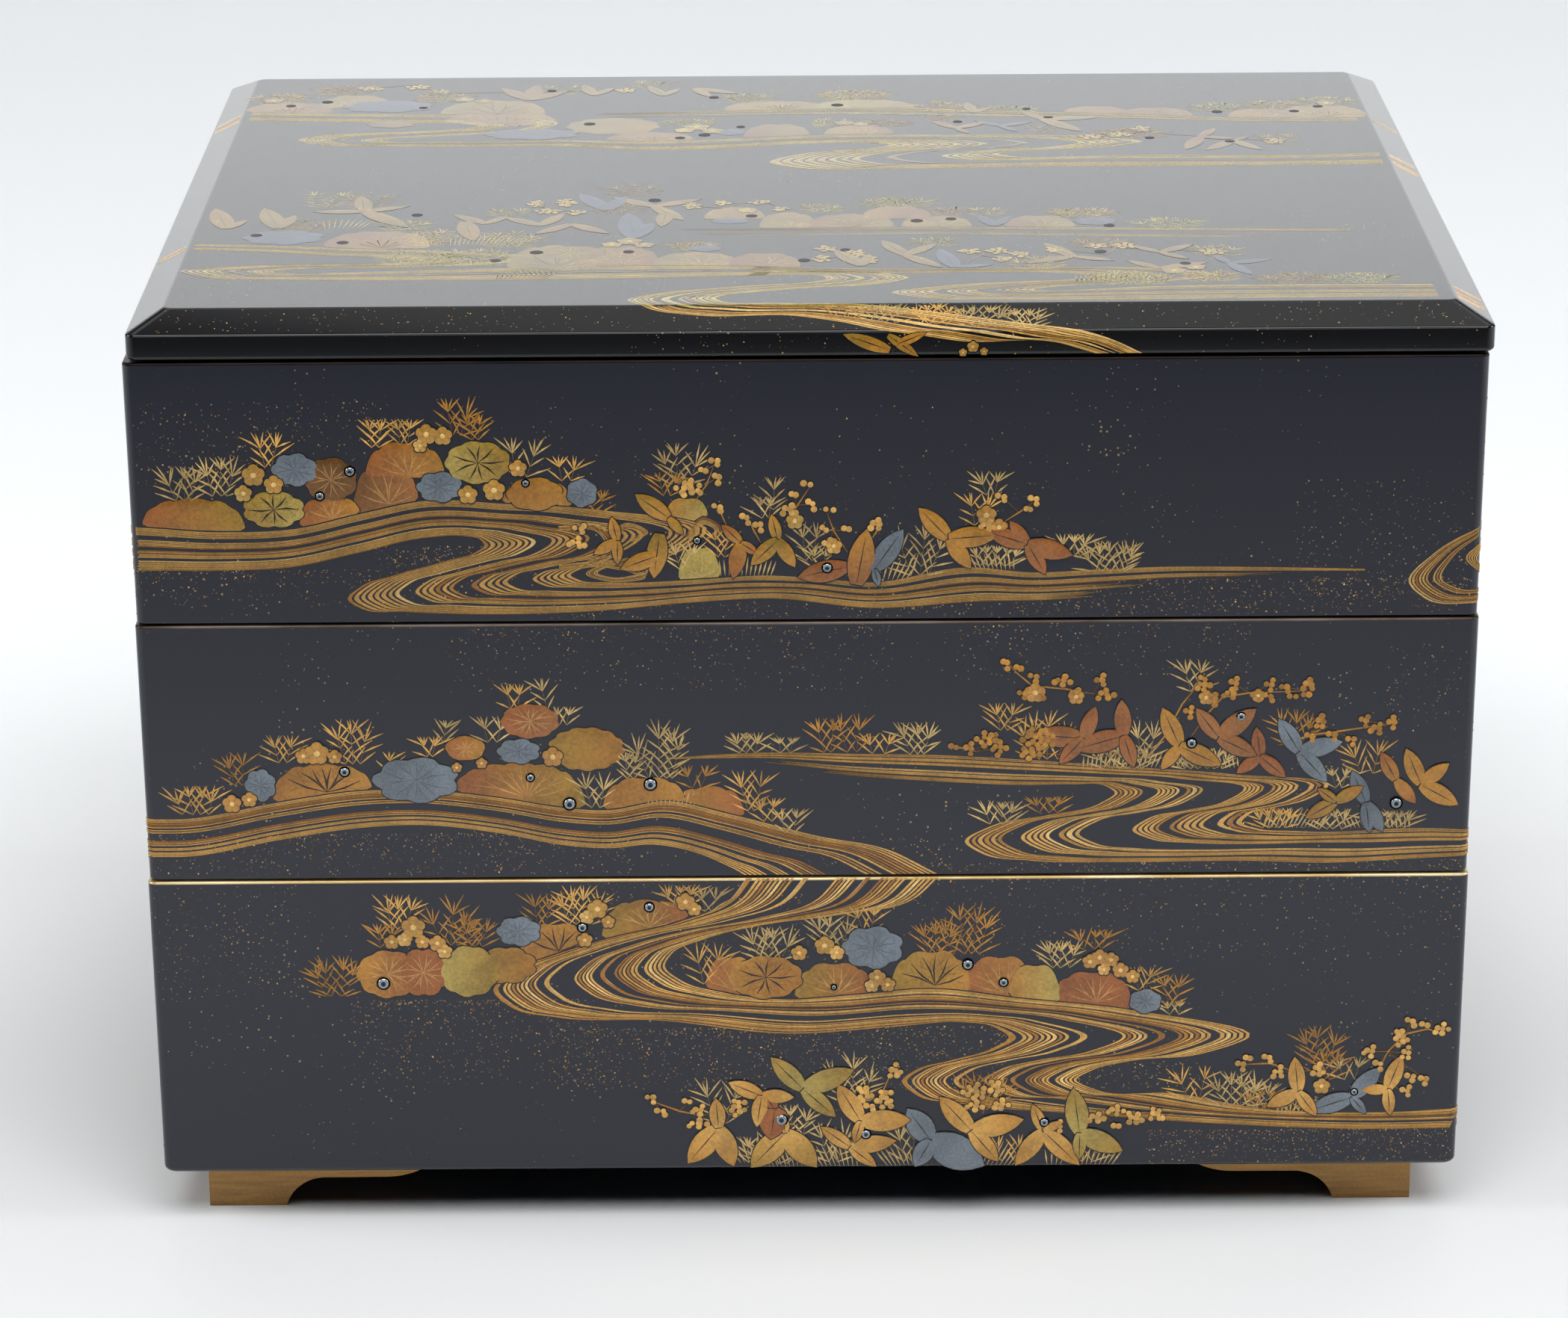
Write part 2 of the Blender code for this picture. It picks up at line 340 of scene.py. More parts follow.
for name, (fresh, worn) in RIM_GOLD_AND_SHADE.items():
    foot, top = foots[name], tops[name]
    if name == "lower_tier":
        profile = tray_profile(foot, top, BASE_FLOOR, BASE_EDGE)
    else:
        step = WALL + STEP_PLAY
        under = foot - STEP_DEPTH
        profile = [(step + FOOT_EDGE, under), (step, under + FOOT_EDGE), (step, foot)]
        profile += tray_profile(foot, top, TRAY_FLOOR, FOOT_EDGE)
    tray = draw_up(f"{name}_lacquered", profile)

    # Gold powder along the mouth: a satin metal, its tone uneven where hands have rubbed it, and darkened on
    # the upper trays by painted shade.
    gilt, tree, shader = finish(f"gold_powder_edge_{name}", metallic=0.85, roughness=0.38)
    place_in = node(tree, "ShaderNodeTexCoord").outputs["Object"]
    wear = node(tree, "ShaderNodeTexNoise", {"Vector": place_in, "Scale": 1 / (RUBBED * MM), "Detail": 5.0})
    rubbed = node(
        tree, "ShaderNodeMapRange", {"Value": wear.outputs["Fac"], "From Min": 0.35, "From Max": 0.6}
    )
    edge_tone = node(
        tree, "ShaderNodeMix",
        {"Factor": rubbed.outputs["Result"], "A": linear(worn), "B": linear(fresh)}, data_type="RGBA",
    )
    tree.links.new(edge_tone.outputs[2], shader.inputs["Base Color"])
    tray.data.materials.append(urushi)
    tray.data.materials.append(gilt)
    for face in tray.data.polygons:
        inward = max(abs(face.center.x) - WIDTH / 2 * MM, abs(face.center.y) - DEPTH / 2 * MM)
        if face.center.z > (top - GOLD_LIP) * MM and inward > -WALL * MM:
            face.material_index = 1
    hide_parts(name)
    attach(tray, "root")

# The lid: a thick board, bevelled broadly round its top and falling to a short upright band, with
# a rim under it that drops into the upper tray. It sits a millimetre off centre, as its play allows.
LID_BEVEL = 7.8
LID_RISE = 4.0
LID_EDGE = 1.2
LID_PLATE = 4.3
LID_RIM = 3.0
LID_PLAY = 1.4
LID_SOFT = 0.4


def eased(before, corner, after, cut, steps=4):
    """A profile's corner, rounded by a curve that starts and ends this far from it."""
    first = Vector(corner) + (Vector(before) - Vector(corner)).normalized() * cut
    last = Vector(corner) + (Vector(after) - Vector(corner)).normalized() * cut
    points = []
    for step in range(steps + 1):
        share = step / steps
        spot = first * (1 - share) ** 2 + Vector(corner) * 2 * share * (1 - share) + last * share ** 2
        points.append((spot.x, spot.y))
    return points


lid_low, lid_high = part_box("lid")
lid_top = lid_high.z / MM
lid_shift = (lid_low.x + lid_high.x) / 2 / MM
lid_seat = tops["upper_tier"] + seam
lid_arris = lid_top - LID_RISE
rim = WALL + LID_PLAY
lid_profile = [(rim + LID_RIM, lid_top - LID_PLATE), (rim + LID_RIM, lid_seat - STEP_DEPTH)]
lid_profile += [(rim + FOOT_EDGE, lid_seat - STEP_DEPTH), (rim, lid_seat - STEP_DEPTH + FOOT_EDGE)]
lid_profile += [(rim, lid_seat)]
lid_profile += arc(LID_EDGE, lid_seat + LID_EDGE, LID_EDGE, -90, 0, 6)
lid_profile += eased((0, lid_seat), (0, lid_arris), (LID_BEVEL, lid_top), LID_SOFT)
lid_profile += eased((0, lid_arris), (LID_BEVEL, lid_top), (2 * LID_BEVEL, lid_top), LID_SOFT)
lid = draw_up("lid_lacquered", lid_profile, lid_shift)
lid.data.materials.append(urushi)
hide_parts("lid")
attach(lid, "root")

# The feet: L-shaped brackets of wood under the corners, glued on, each leg cut to an ogee, gilded over
# brown lacquer with a broad brush and rubbed, so the gold is matt and streaked along. It is laid
# browner low down, as painted shade near the floor.
FOOT_INSET = 9.6
FOOT_THICK = 9.0
FOOT_LEG = 52.0
FOOT_SOFT = 0.8
WING_HEIGHT = 7.1
WING_END = 41.0
RISE_END = 27.3
RISE_RUN = 9.5
RISE_CENTRE = -2.0
RISE_START = 13
CURVE_STEPS = 12
FOOT_SHARP_FROM = 35
MERGED = 0.01
FOOT_CORNERS = (
    ("foot_front_left", -1, -1), ("foot_front_right", 1, -1),
    ("foot_back_right", 1, 1), ("foot_back_left", -1, 1),
)

ogee = [(0, 0)]
for step in range(CURVE_STEPS + 1):
    angle = radians(RISE_START + (90 - RISE_START) * step / CURVE_STEPS)
    rise = RISE_CENTRE + (WING_HEIGHT - RISE_CENTRE) * sin(angle)
    ogee.append((RISE_END - RISE_RUN * cos(angle), max(rise, 0)))
for step in range(CURVE_STEPS + 1):
    angle = pi / 2 * step / CURVE_STEPS
    ogee.append((WING_END + (FOOT_LEG - WING_END) * sin(angle),
                 WING_HEIGHT + (feet_top - WING_HEIGHT) * (1 - cos(angle))))

bpy.ops.object.select_all(action="DESELECT")
bpy.ops.mesh.primitive_plane_add(size=1, location=(0, 0, 0), rotation=(pi / 2, 0, 0))
bpy.ops.object.transform_apply(location=True, rotation=True)
bracket = bpy.context.object
bpy.ops.object.mode_set(mode="EDIT")
bpy.ops.transform.resize(value=(ogee[1][0] * MM, 1, feet_top * MM))
bpy.ops.transform.translate(value=(ogee[1][0] / 2 * MM, 0, feet_top / 2 * MM))
ogee_reach = ogee[1][0]
for here, there in zip(ogee[1:], ogee[2:]):
    end = ogee_reach - 0.001
    pick_edges(bracket, lambda edge: all(vert.co.x > end * MM for vert in edge.verts))
    bpy.ops.mesh.extrude_region_move(TRANSFORM_OT_translate={"value": ((there[0] - here[0]) * MM, 0, 0)})
    shape = bmesh.from_edit_mesh(bracket.data)
    top = max(vert.co.z for vert in shape.verts) - 1e-6
    for vert in shape.verts:
        vert.select_set(vert.select and vert.co.z < top)
    bmesh.update_edit_mesh(bracket.data)
    bpy.ops.transform.translate(value=(0, 0, (there[1] - here[1]) * MM))
    ogee_reach = there[0]
bpy.ops.mesh.select_all(action="SELECT")
bpy.ops.mesh.remove_doubles(threshold=MERGED * MM)
bpy.ops.object.mode_set(mode="OBJECT")
bpy.ops.object.duplicate()
other_leg = bpy.context.object
other_leg.data.transform(Matrix(((0, 1, 0, 0), (1, 0, 0, 0), (0, 0, 1, 0), (0, 0, 0, 1))))
bracket.select_set(True)
bpy.context.view_layer.objects.active = bracket
bpy.ops.object.join()
bpy.ops.object.mode_set(mode="EDIT")
bpy.ops.mesh.select_all(action="SELECT")
bpy.ops.mesh.remove_doubles(threshold=MERGED * MM)
bpy.ops.mesh.normals_make_consistent(inside=False)
shape = bmesh.from_edit_mesh(bracket.data)
outward = sum(face.normal.y * face.calc_area() for face in shape.faces)
if outward > 0:
    bpy.ops.mesh.flip_normals()
bpy.ops.object.mode_set(mode="OBJECT")
bpy.ops.object.modifier_add(type="SOLIDIFY")
bracket.modifiers[-1].thickness = FOOT_THICK * MM
bracket.modifiers[-1].offset = -1
bracket.modifiers[-1].use_even_offset = True
bpy.ops.object.modifier_apply(modifier=bracket.modifiers[-1].name)
bpy.ops.object.modifier_add(type="BEVEL")
bracket.modifiers[-1].width = FOOT_SOFT * MM
bracket.modifiers[-1].segments = 3
bracket.modifiers[-1].limit_method = "ANGLE"
bracket.modifiers[-1].angle_limit = radians(SHARP_FROM)
bpy.ops.object.modifier_apply(modifier=bracket.modifiers[-1].name)
bpy.ops.object.shade_smooth_by_angle(angle=radians(FOOT_SHARP_FROM))

# Rubbed gilding: soft horizontal brush streaks, fine grain, and painted shade that turns it browner towards
# the sole.
STREAK = 14
BRISTLE = 0.9
GRAIN = 0.8
gilding, tree, shader = finish("brushed_gilding_on_brown_lacquer", metallic=0.25, roughness=0.5)
place_in = node(tree, "ShaderNodeTexCoord").outputs["Object"]
along_brush = node(
    tree, "ShaderNodeMapping",
    {"Vector": place_in, "Scale": (1 / (STREAK * MM), 1 / (STREAK * MM), 1 / (BRISTLE * MM))},
)
streaks = node(
    tree, "ShaderNodeTexNoise", {"Vector": along_brush.outputs["Vector"], "Scale": 1.0, "Detail": 5.0}
)
grain = node(tree, "ShaderNodeTexNoise", {"Vector": place_in, "Scale": 1 / (GRAIN * MM), "Detail": 4.0})
height_of = node(tree, "ShaderNodeSeparateXYZ", {"Vector": place_in})
# Painted shade: the gilding turns browner towards the sole.
raised = node(
    tree, "ShaderNodeMapRange",
    {
        "Value": height_of.outputs["Z"], "From Min": 0.0, "From Max": feet_top * MM,
        "To Min": -0.25, "To Max": 0.25,
    },
)
streaks_and_low_shade = node(
    tree, "ShaderNodeMath", {0: streaks.outputs["Fac"], 1: raised.outputs["Result"]}, operation="ADD"
)
speckled = node(
    tree, "ShaderNodeMapRange",
    {"Value": grain.outputs["Fac"], "From Min": 0.3, "From Max": 0.7, "To Min": -0.12, "To Max": 0.12},
)
worn_and_shaded_share = node(
    tree, "ShaderNodeMath", {0: streaks_and_low_shade.outputs["Value"], 1: speckled.outputs["Result"]}, operation="ADD"
)
gilt_tone = node(
    tree, "ShaderNodeMix",
    {"Factor": worn_and_shaded_share.outputs["Value"], "A": linear("#6f4f2a"), "B": linear("#ab8240")},
    data_type="RGBA",
)
tree.links.new(gilt_tone.outputs[2], shader.inputs["Base Color"])
bumps = node(
    tree, "ShaderNodeBump", {"Height": streaks.outputs["Fac"], "Strength": 0.35, "Distance": 0.15 * MM}
)
tree.links.new(bumps.outputs["Normal"], shader.inputs["Normal"])

for turn, (name, side_x, side_y) in enumerate(FOOT_CORNERS):
    foot = bpy.data.objects.new(f"{name}_gilded", bracket.data.copy())
    bpy.context.scene.collection.objects.link(foot)
    corner = (side_x * (WIDTH / 2 - FOOT_INSET) * MM, side_y * (DEPTH / 2 - FOOT_INSET) * MM, 0)
    foot.data.transform(Matrix.Translation(corner) @ Matrix.Rotation(turn * pi / 2, 4, "Z"))
    foot.data.materials.append(gilding)
    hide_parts(name)
    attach(foot, "root")
bpy.data.objects.remove(bracket)

# The pictures' ground: the tray walls all round, and the lid with its bevels and bands. A picture
# point is millimetres along the wall, rightwards from the middle of the front, and above the tray's
# foot, or on the lid rightwards and backwards from its middle, and how far the powder stands proud.
FRONT_END = WIDTH / 2 - CORNER
SIDE_END = DEPTH / 2 - CORNER
BEND = CORNER * pi / 2
LID_LEAST = 0.006
LID_PROUD = 0.12


def round_wall(along):
    """A point of the box's outline from above, and the way it faces, by the distance along the wall."""
    rest = (along + FRONT_END) % (4 * (FRONT_END + SIDE_END) + 4 * BEND)
    starts = [(x * FRONT_END, y * SIDE_END) for x, y in ((-1, -1), (1, -1), (1, 1), (-1, 1))]
    for quarter in range(4):
        length = 2 * (FRONT_END, SIDE_END)[quarter % 2]
        turned = quarter * pi / 2
        if rest <= length:
            face = Vector((sin(turned), -cos(turned)))
            way = Vector((cos(turned), sin(turned)))
            return Vector(starts[quarter]) + CORNER * face + rest * way, face
        rest -= length
        if rest <= BEND:
            turned += rest / CORNER - pi / 2
            face = Vector((cos(turned), sin(turned)))
            return Vector(starts[(quarter + 1) % 4]) + CORNER * face, face
        rest -= BEND


def over_edge(along, half):
    """How far out a point of the lid lies, how far down its bevel and band, and its facing (out, up)."""
    slope = hypot(LID_BEVEL, LID_RISE)
    past = max(abs(along) - half + LID_BEVEL, 0)
    side = 1 if along > 0 else -1
    if past == 0:
        return along, 0, (0, 1)
    if past < slope:
        share = past / slope
        face = (side * LID_RISE / slope, LID_BEVEL / slope)
        return side * (half - LID_BEVEL * (1 - share)), LID_RISE * share, face
    return side * half, LID_RISE + past - slope, (side, 0)


def on_lid(x, y, proud):
    """How picture points lie on the lid, its bevels and bands laid out flat round its level top."""
    out_x, down_x, face_x = over_edge(x, WIDTH / 2)
    out_y, down_y, face_y = over_edge(y, DEPTH / 2)
    face = Vector((face_x[0], face_y[0], min(face_x[1], face_y[1])))
    spot = Vector((lid_shift + out_x, out_y, lid_top - max(down_x, down_y)))
    proud = proud if proud < 0 else LID_LEAST + LID_PROUD * proud
    return (spot + proud * face.normalized()) * MM


def tray_wall(name):
    """How picture points lie on one tray, whose wall leans out a little from its foot to its mouth."""
    foot, top = foots[name], tops[name]

    def place(along, height, proud):
        plan, face = round_wall(along)
        spot = plan + (proud - DRAFT * (1 - height / (top - foot))) * face
        return Vector((spot.x, spot.y, foot + height)) * MM

    return place


# The powders: gold from pale to reddish, silver and black, sprinkled into wet lacquer, built up in
# low relief, sealed with clear lacquer and polished back. Each point of a figure carries its
# powder's colour. The lid's level top mirrors the bright backdrop, so its powders are laid darker.
BED = -0.03
LINE_RISE = 0.04
CROWN = 0.78
LINE_END = 0.12
SHOULDER = 0.02
DOME = ((0.86, 0.62), (0.6, 0.9), (0.25, 1.0))
LEAST_REACH = 0.3
LID_FLAT = 0.3
LID_SHADE = (0.575, 0.695, 0.22)
LID_SILVER_SHADE = (0.3, 0.36, 0.5)
TONES = {
    "pale": "#d4ae68", "straw": "#bf9248", "ochre": "#a07028", "gold": "#8e5e20", "orange": "#894f23",
    "rust": "#86562b", "yellow": "#8c6c22", "green": "#9e8a46", "brown": "#68441e", "umber": "#1e130c",
    "silver": "#5c646c", "steel": "#4a525c", "mist": "#67707a", "black": "#08080a", "bright": "#8e979c",
    "painted_dark_reflection": "#323a44", "hay": "#b2965e",
}


def tone(name):
    """One of the powders' colours, linear."""
    return Vector(linear(TONES[name])[:3])


def blend(first, second, share):
    """Between two colours."""
    return first + (second - first) * min(max(share, 0), 1)


def across(low, high, first, second):
    """A colour that runs from one powder to another along the wall."""
    ends = tone(first), tone(second)
    return lambda x, z: blend(*ends, (x - low) / (high - low))


class Film:
    """Closed raised shapes of one finish, gathered into one piece, each point with its powder's colour."""

    def __init__(self, place, shade):
        self.place = place
        self.shade = shade
        self.points = []
        self.faces = []
        self.colours = []

    def lay(self, rings, colours):
        """Add a solid through like rings of points, from its hidden underside to its crown."""
        start = len(self.points)
        count = len(rings[0])
        for ring, colour in zip(rings, colours):
            for index, point in enumerate(ring):
                self.points.append(self.place(*point))
                self.colours.append(colour[index] if isinstance(colour, list) else colour)
        self.faces.append([start + index for index in reversed(range(count))])
        for level in range(len(rings) - 1):
            for index in range(count):
                near, far = start + level * count + index, start + level * count + (index + 1) % count
                self.faces.append([near, far, far + count, near + count])
        self.faces.append([start + (len(rings) - 1) * count + index for index in range(count)])

    def stroke(self, path, width, colour, base=0.0, rise=LINE_RISE, blunt=0.35):
        """A ridged line along a path, tapered over this share of its length at both ends."""
        start = len(self.points)
        last = len(path) - 1
        for index, (x, z) in enumerate(path):
            before, after = path[max(index - 1, 0)], path[min(index + 1, last)]
            run = Vector((after[0] - before[0], after[1] - before[1]))
            run = run.normalized() if run.length > 1e-6 else Vector((1, 0))
            share = index / last
            full = min(1, (share + 0.02) / blunt, (1.02 - share) / blunt)
            half = width / 2 * max(full, LINE_END)
            self.section((x, z), (run.y * half, -run.x * half), base + rise)
            self.colours += [colour] * 4
        self.close_ridge(start, len(path))

    def section(self, middle, reach, proud):
        """One section of a line: its underside in the lacquer, its level crown a little narrower."""
        for share, height in ((1, BED), (CROWN, proud), (-CROWN, proud), (-1, BED)):
            x, z = middle[0] + share * reach[0], middle[1] + share * reach[1]
            self.points.append(self.place(x, z, height))

    def close_ridge(self, start, count):
        """Join a run of sections into a closed ridge."""
        self.faces.append([start, start + 1, start + 2, start + 3])
        for index in range(count - 1):
            near, far = start + 4 * index, start + 4 * index + 4
            for a, b in ((0, 1), (1, 2), (2, 3), (3, 0)):
                self.faces.append([near + a, far + a, far + b, near + b])
        end = start + 4 * (count - 1)
        self.faces.append([end + 3, end + 2, end + 1, end])

    def patch(self, outline, middle, colour, base=0.0, rise=0.07, outlined=0.25):
        """A low dome with a soft shoulder, on a slightly wider bed of black."""
        if outlined:
            wider = []
            for x, z in outline:
                out = Vector((x - middle[0], z - middle[1]))
                out = out * (1 + outlined / max(out.length, LEAST_REACH))
                wider.append((middle[0] + out.x, middle[1] + out.y))
            self.lay([[(x, z, level) for x, z in wider] for level in (BED, base)], [tone("black")] * 2)
        rings = [[(x, z, BED) for x, z in outline], [(x, z, base + SHOULDER) for x, z in outline]]
        for share, lift in DOME:
            ring = []
            for x, z in outline:
                ring.append((middle[0] + (x - middle[0]) * share, middle[1] + (z - middle[1]) * share,
                             base + SHOULDER + rise * lift))
            rings.append(ring)
        self.lay(rings, [[colour(x, z) for x, z, lift in ring] for ring in rings])

    def piece(self, name, powder, slot):
        """Make the piece, on its body and in its finish."""
        mesh = bpy.data.meshes.new(name)
        mesh.from_pydata(self.points, [], self.faces)
        mesh.shade_smooth()
        mesh.set_sharp_from_angle(angle=radians(30))
        made = bpy.data.objects.new(name, mesh)
        bpy.context.scene.collection.objects.link(made)
        laid = mesh.attributes.new("powder", "FLOAT_COLOR", "POINT")
        shaded = []
        level = (lid_top - LID_FLAT) * MM
        # Painted shade: every point on a tray, and those on the lid's level top, take the film's shade.
        for point, colour in zip(self.points, self.colours):
            takes_shade = self.place is not on_lid or point.z > level
            shaded += [*colour * (Vector(self.shade) if takes_shade else 1), 1]
        laid.data.foreach_set("color", shaded)
        mesh.materials.append(powder)
        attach(made, "root")


# Gold and silver powder under polished lacquer: a soft satin gleam without a metal's hard glints, a
# fine grain, and broader clouds where the powder fell thicker. Its colour is laid point by point.
CLOUD = 7
GOLD_GRAIN = 0.7
SILVER_GRAIN = 0.6


def powder_finish(name, grain):
    """Metal powder under a film of clear lacquer, polished flush."""
    made, tree, shader = finish(
        name, metallic=0.04, roughness=0.5, specular_ior_level=0.0,
        coat_weight=1.0, coat_roughness=0.08, coat_ior=1.52,
    )
    laid = node(tree, "ShaderNodeAttribute", attribute_name="powder")
    place_in = node(tree, "ShaderNodeTexCoord").outputs["Object"]
    fine = node(tree, "ShaderNodeTexNoise", {"Vector": place_in, "Scale": 1 / (grain * MM), "Detail": 3.0})
    broad = node(tree, "ShaderNodeTexNoise", {"Vector": place_in, "Scale": 1 / (CLOUD * MM), "Detail": 2.0})
    both = node(tree, "ShaderNodeMath", {0: fine.outputs["Fac"], 1: broad.outputs["Fac"]}, operation="ADD")
    shade = node(
        tree, "ShaderNodeMapRange",
        {"Value": both.outputs["Value"], "From Min": 0.75, "From Max": 1.25, "To Min": 0.72, "To Max": 1.22},
    )
    colour = node(
        tree, "ShaderNodeVectorMath", {0: laid.outputs["Color"], 1: shade.outputs["Result"]},
        operation="MULTIPLY",
    )
    tree.links.new(colour.outputs["Vector"], shader.inputs["Base Color"])
    return made


gold_powder = powder_finish("sprinkled_gold_powder", GOLD_GRAIN)
silver_powder = powder_finish("sprinkled_silver_powder", SILVER_GRAIN)

# Water: bands of fine gold lines side by side between a stream's two edges, which widen, narrow and
# bend back on themselves. A station is a point of the right-hand edge and one of the left-hand edge.
# A bundle is the share of the width where it begins and ends, how bold it is, and the stations that
# it runs between, where it doesn't run all the way.
LINE_BASE = 0.05
LINE_FILL = 0.67
LID_FILL = 0.88
LINE_TONE = 0.97
LINE_STEPS = 8
LINES_TO_BOLD = 1.6
LINE_POWDERS = ("pale", "straw", "straw", "straw", "straw", "straw", "ochre", "gold")
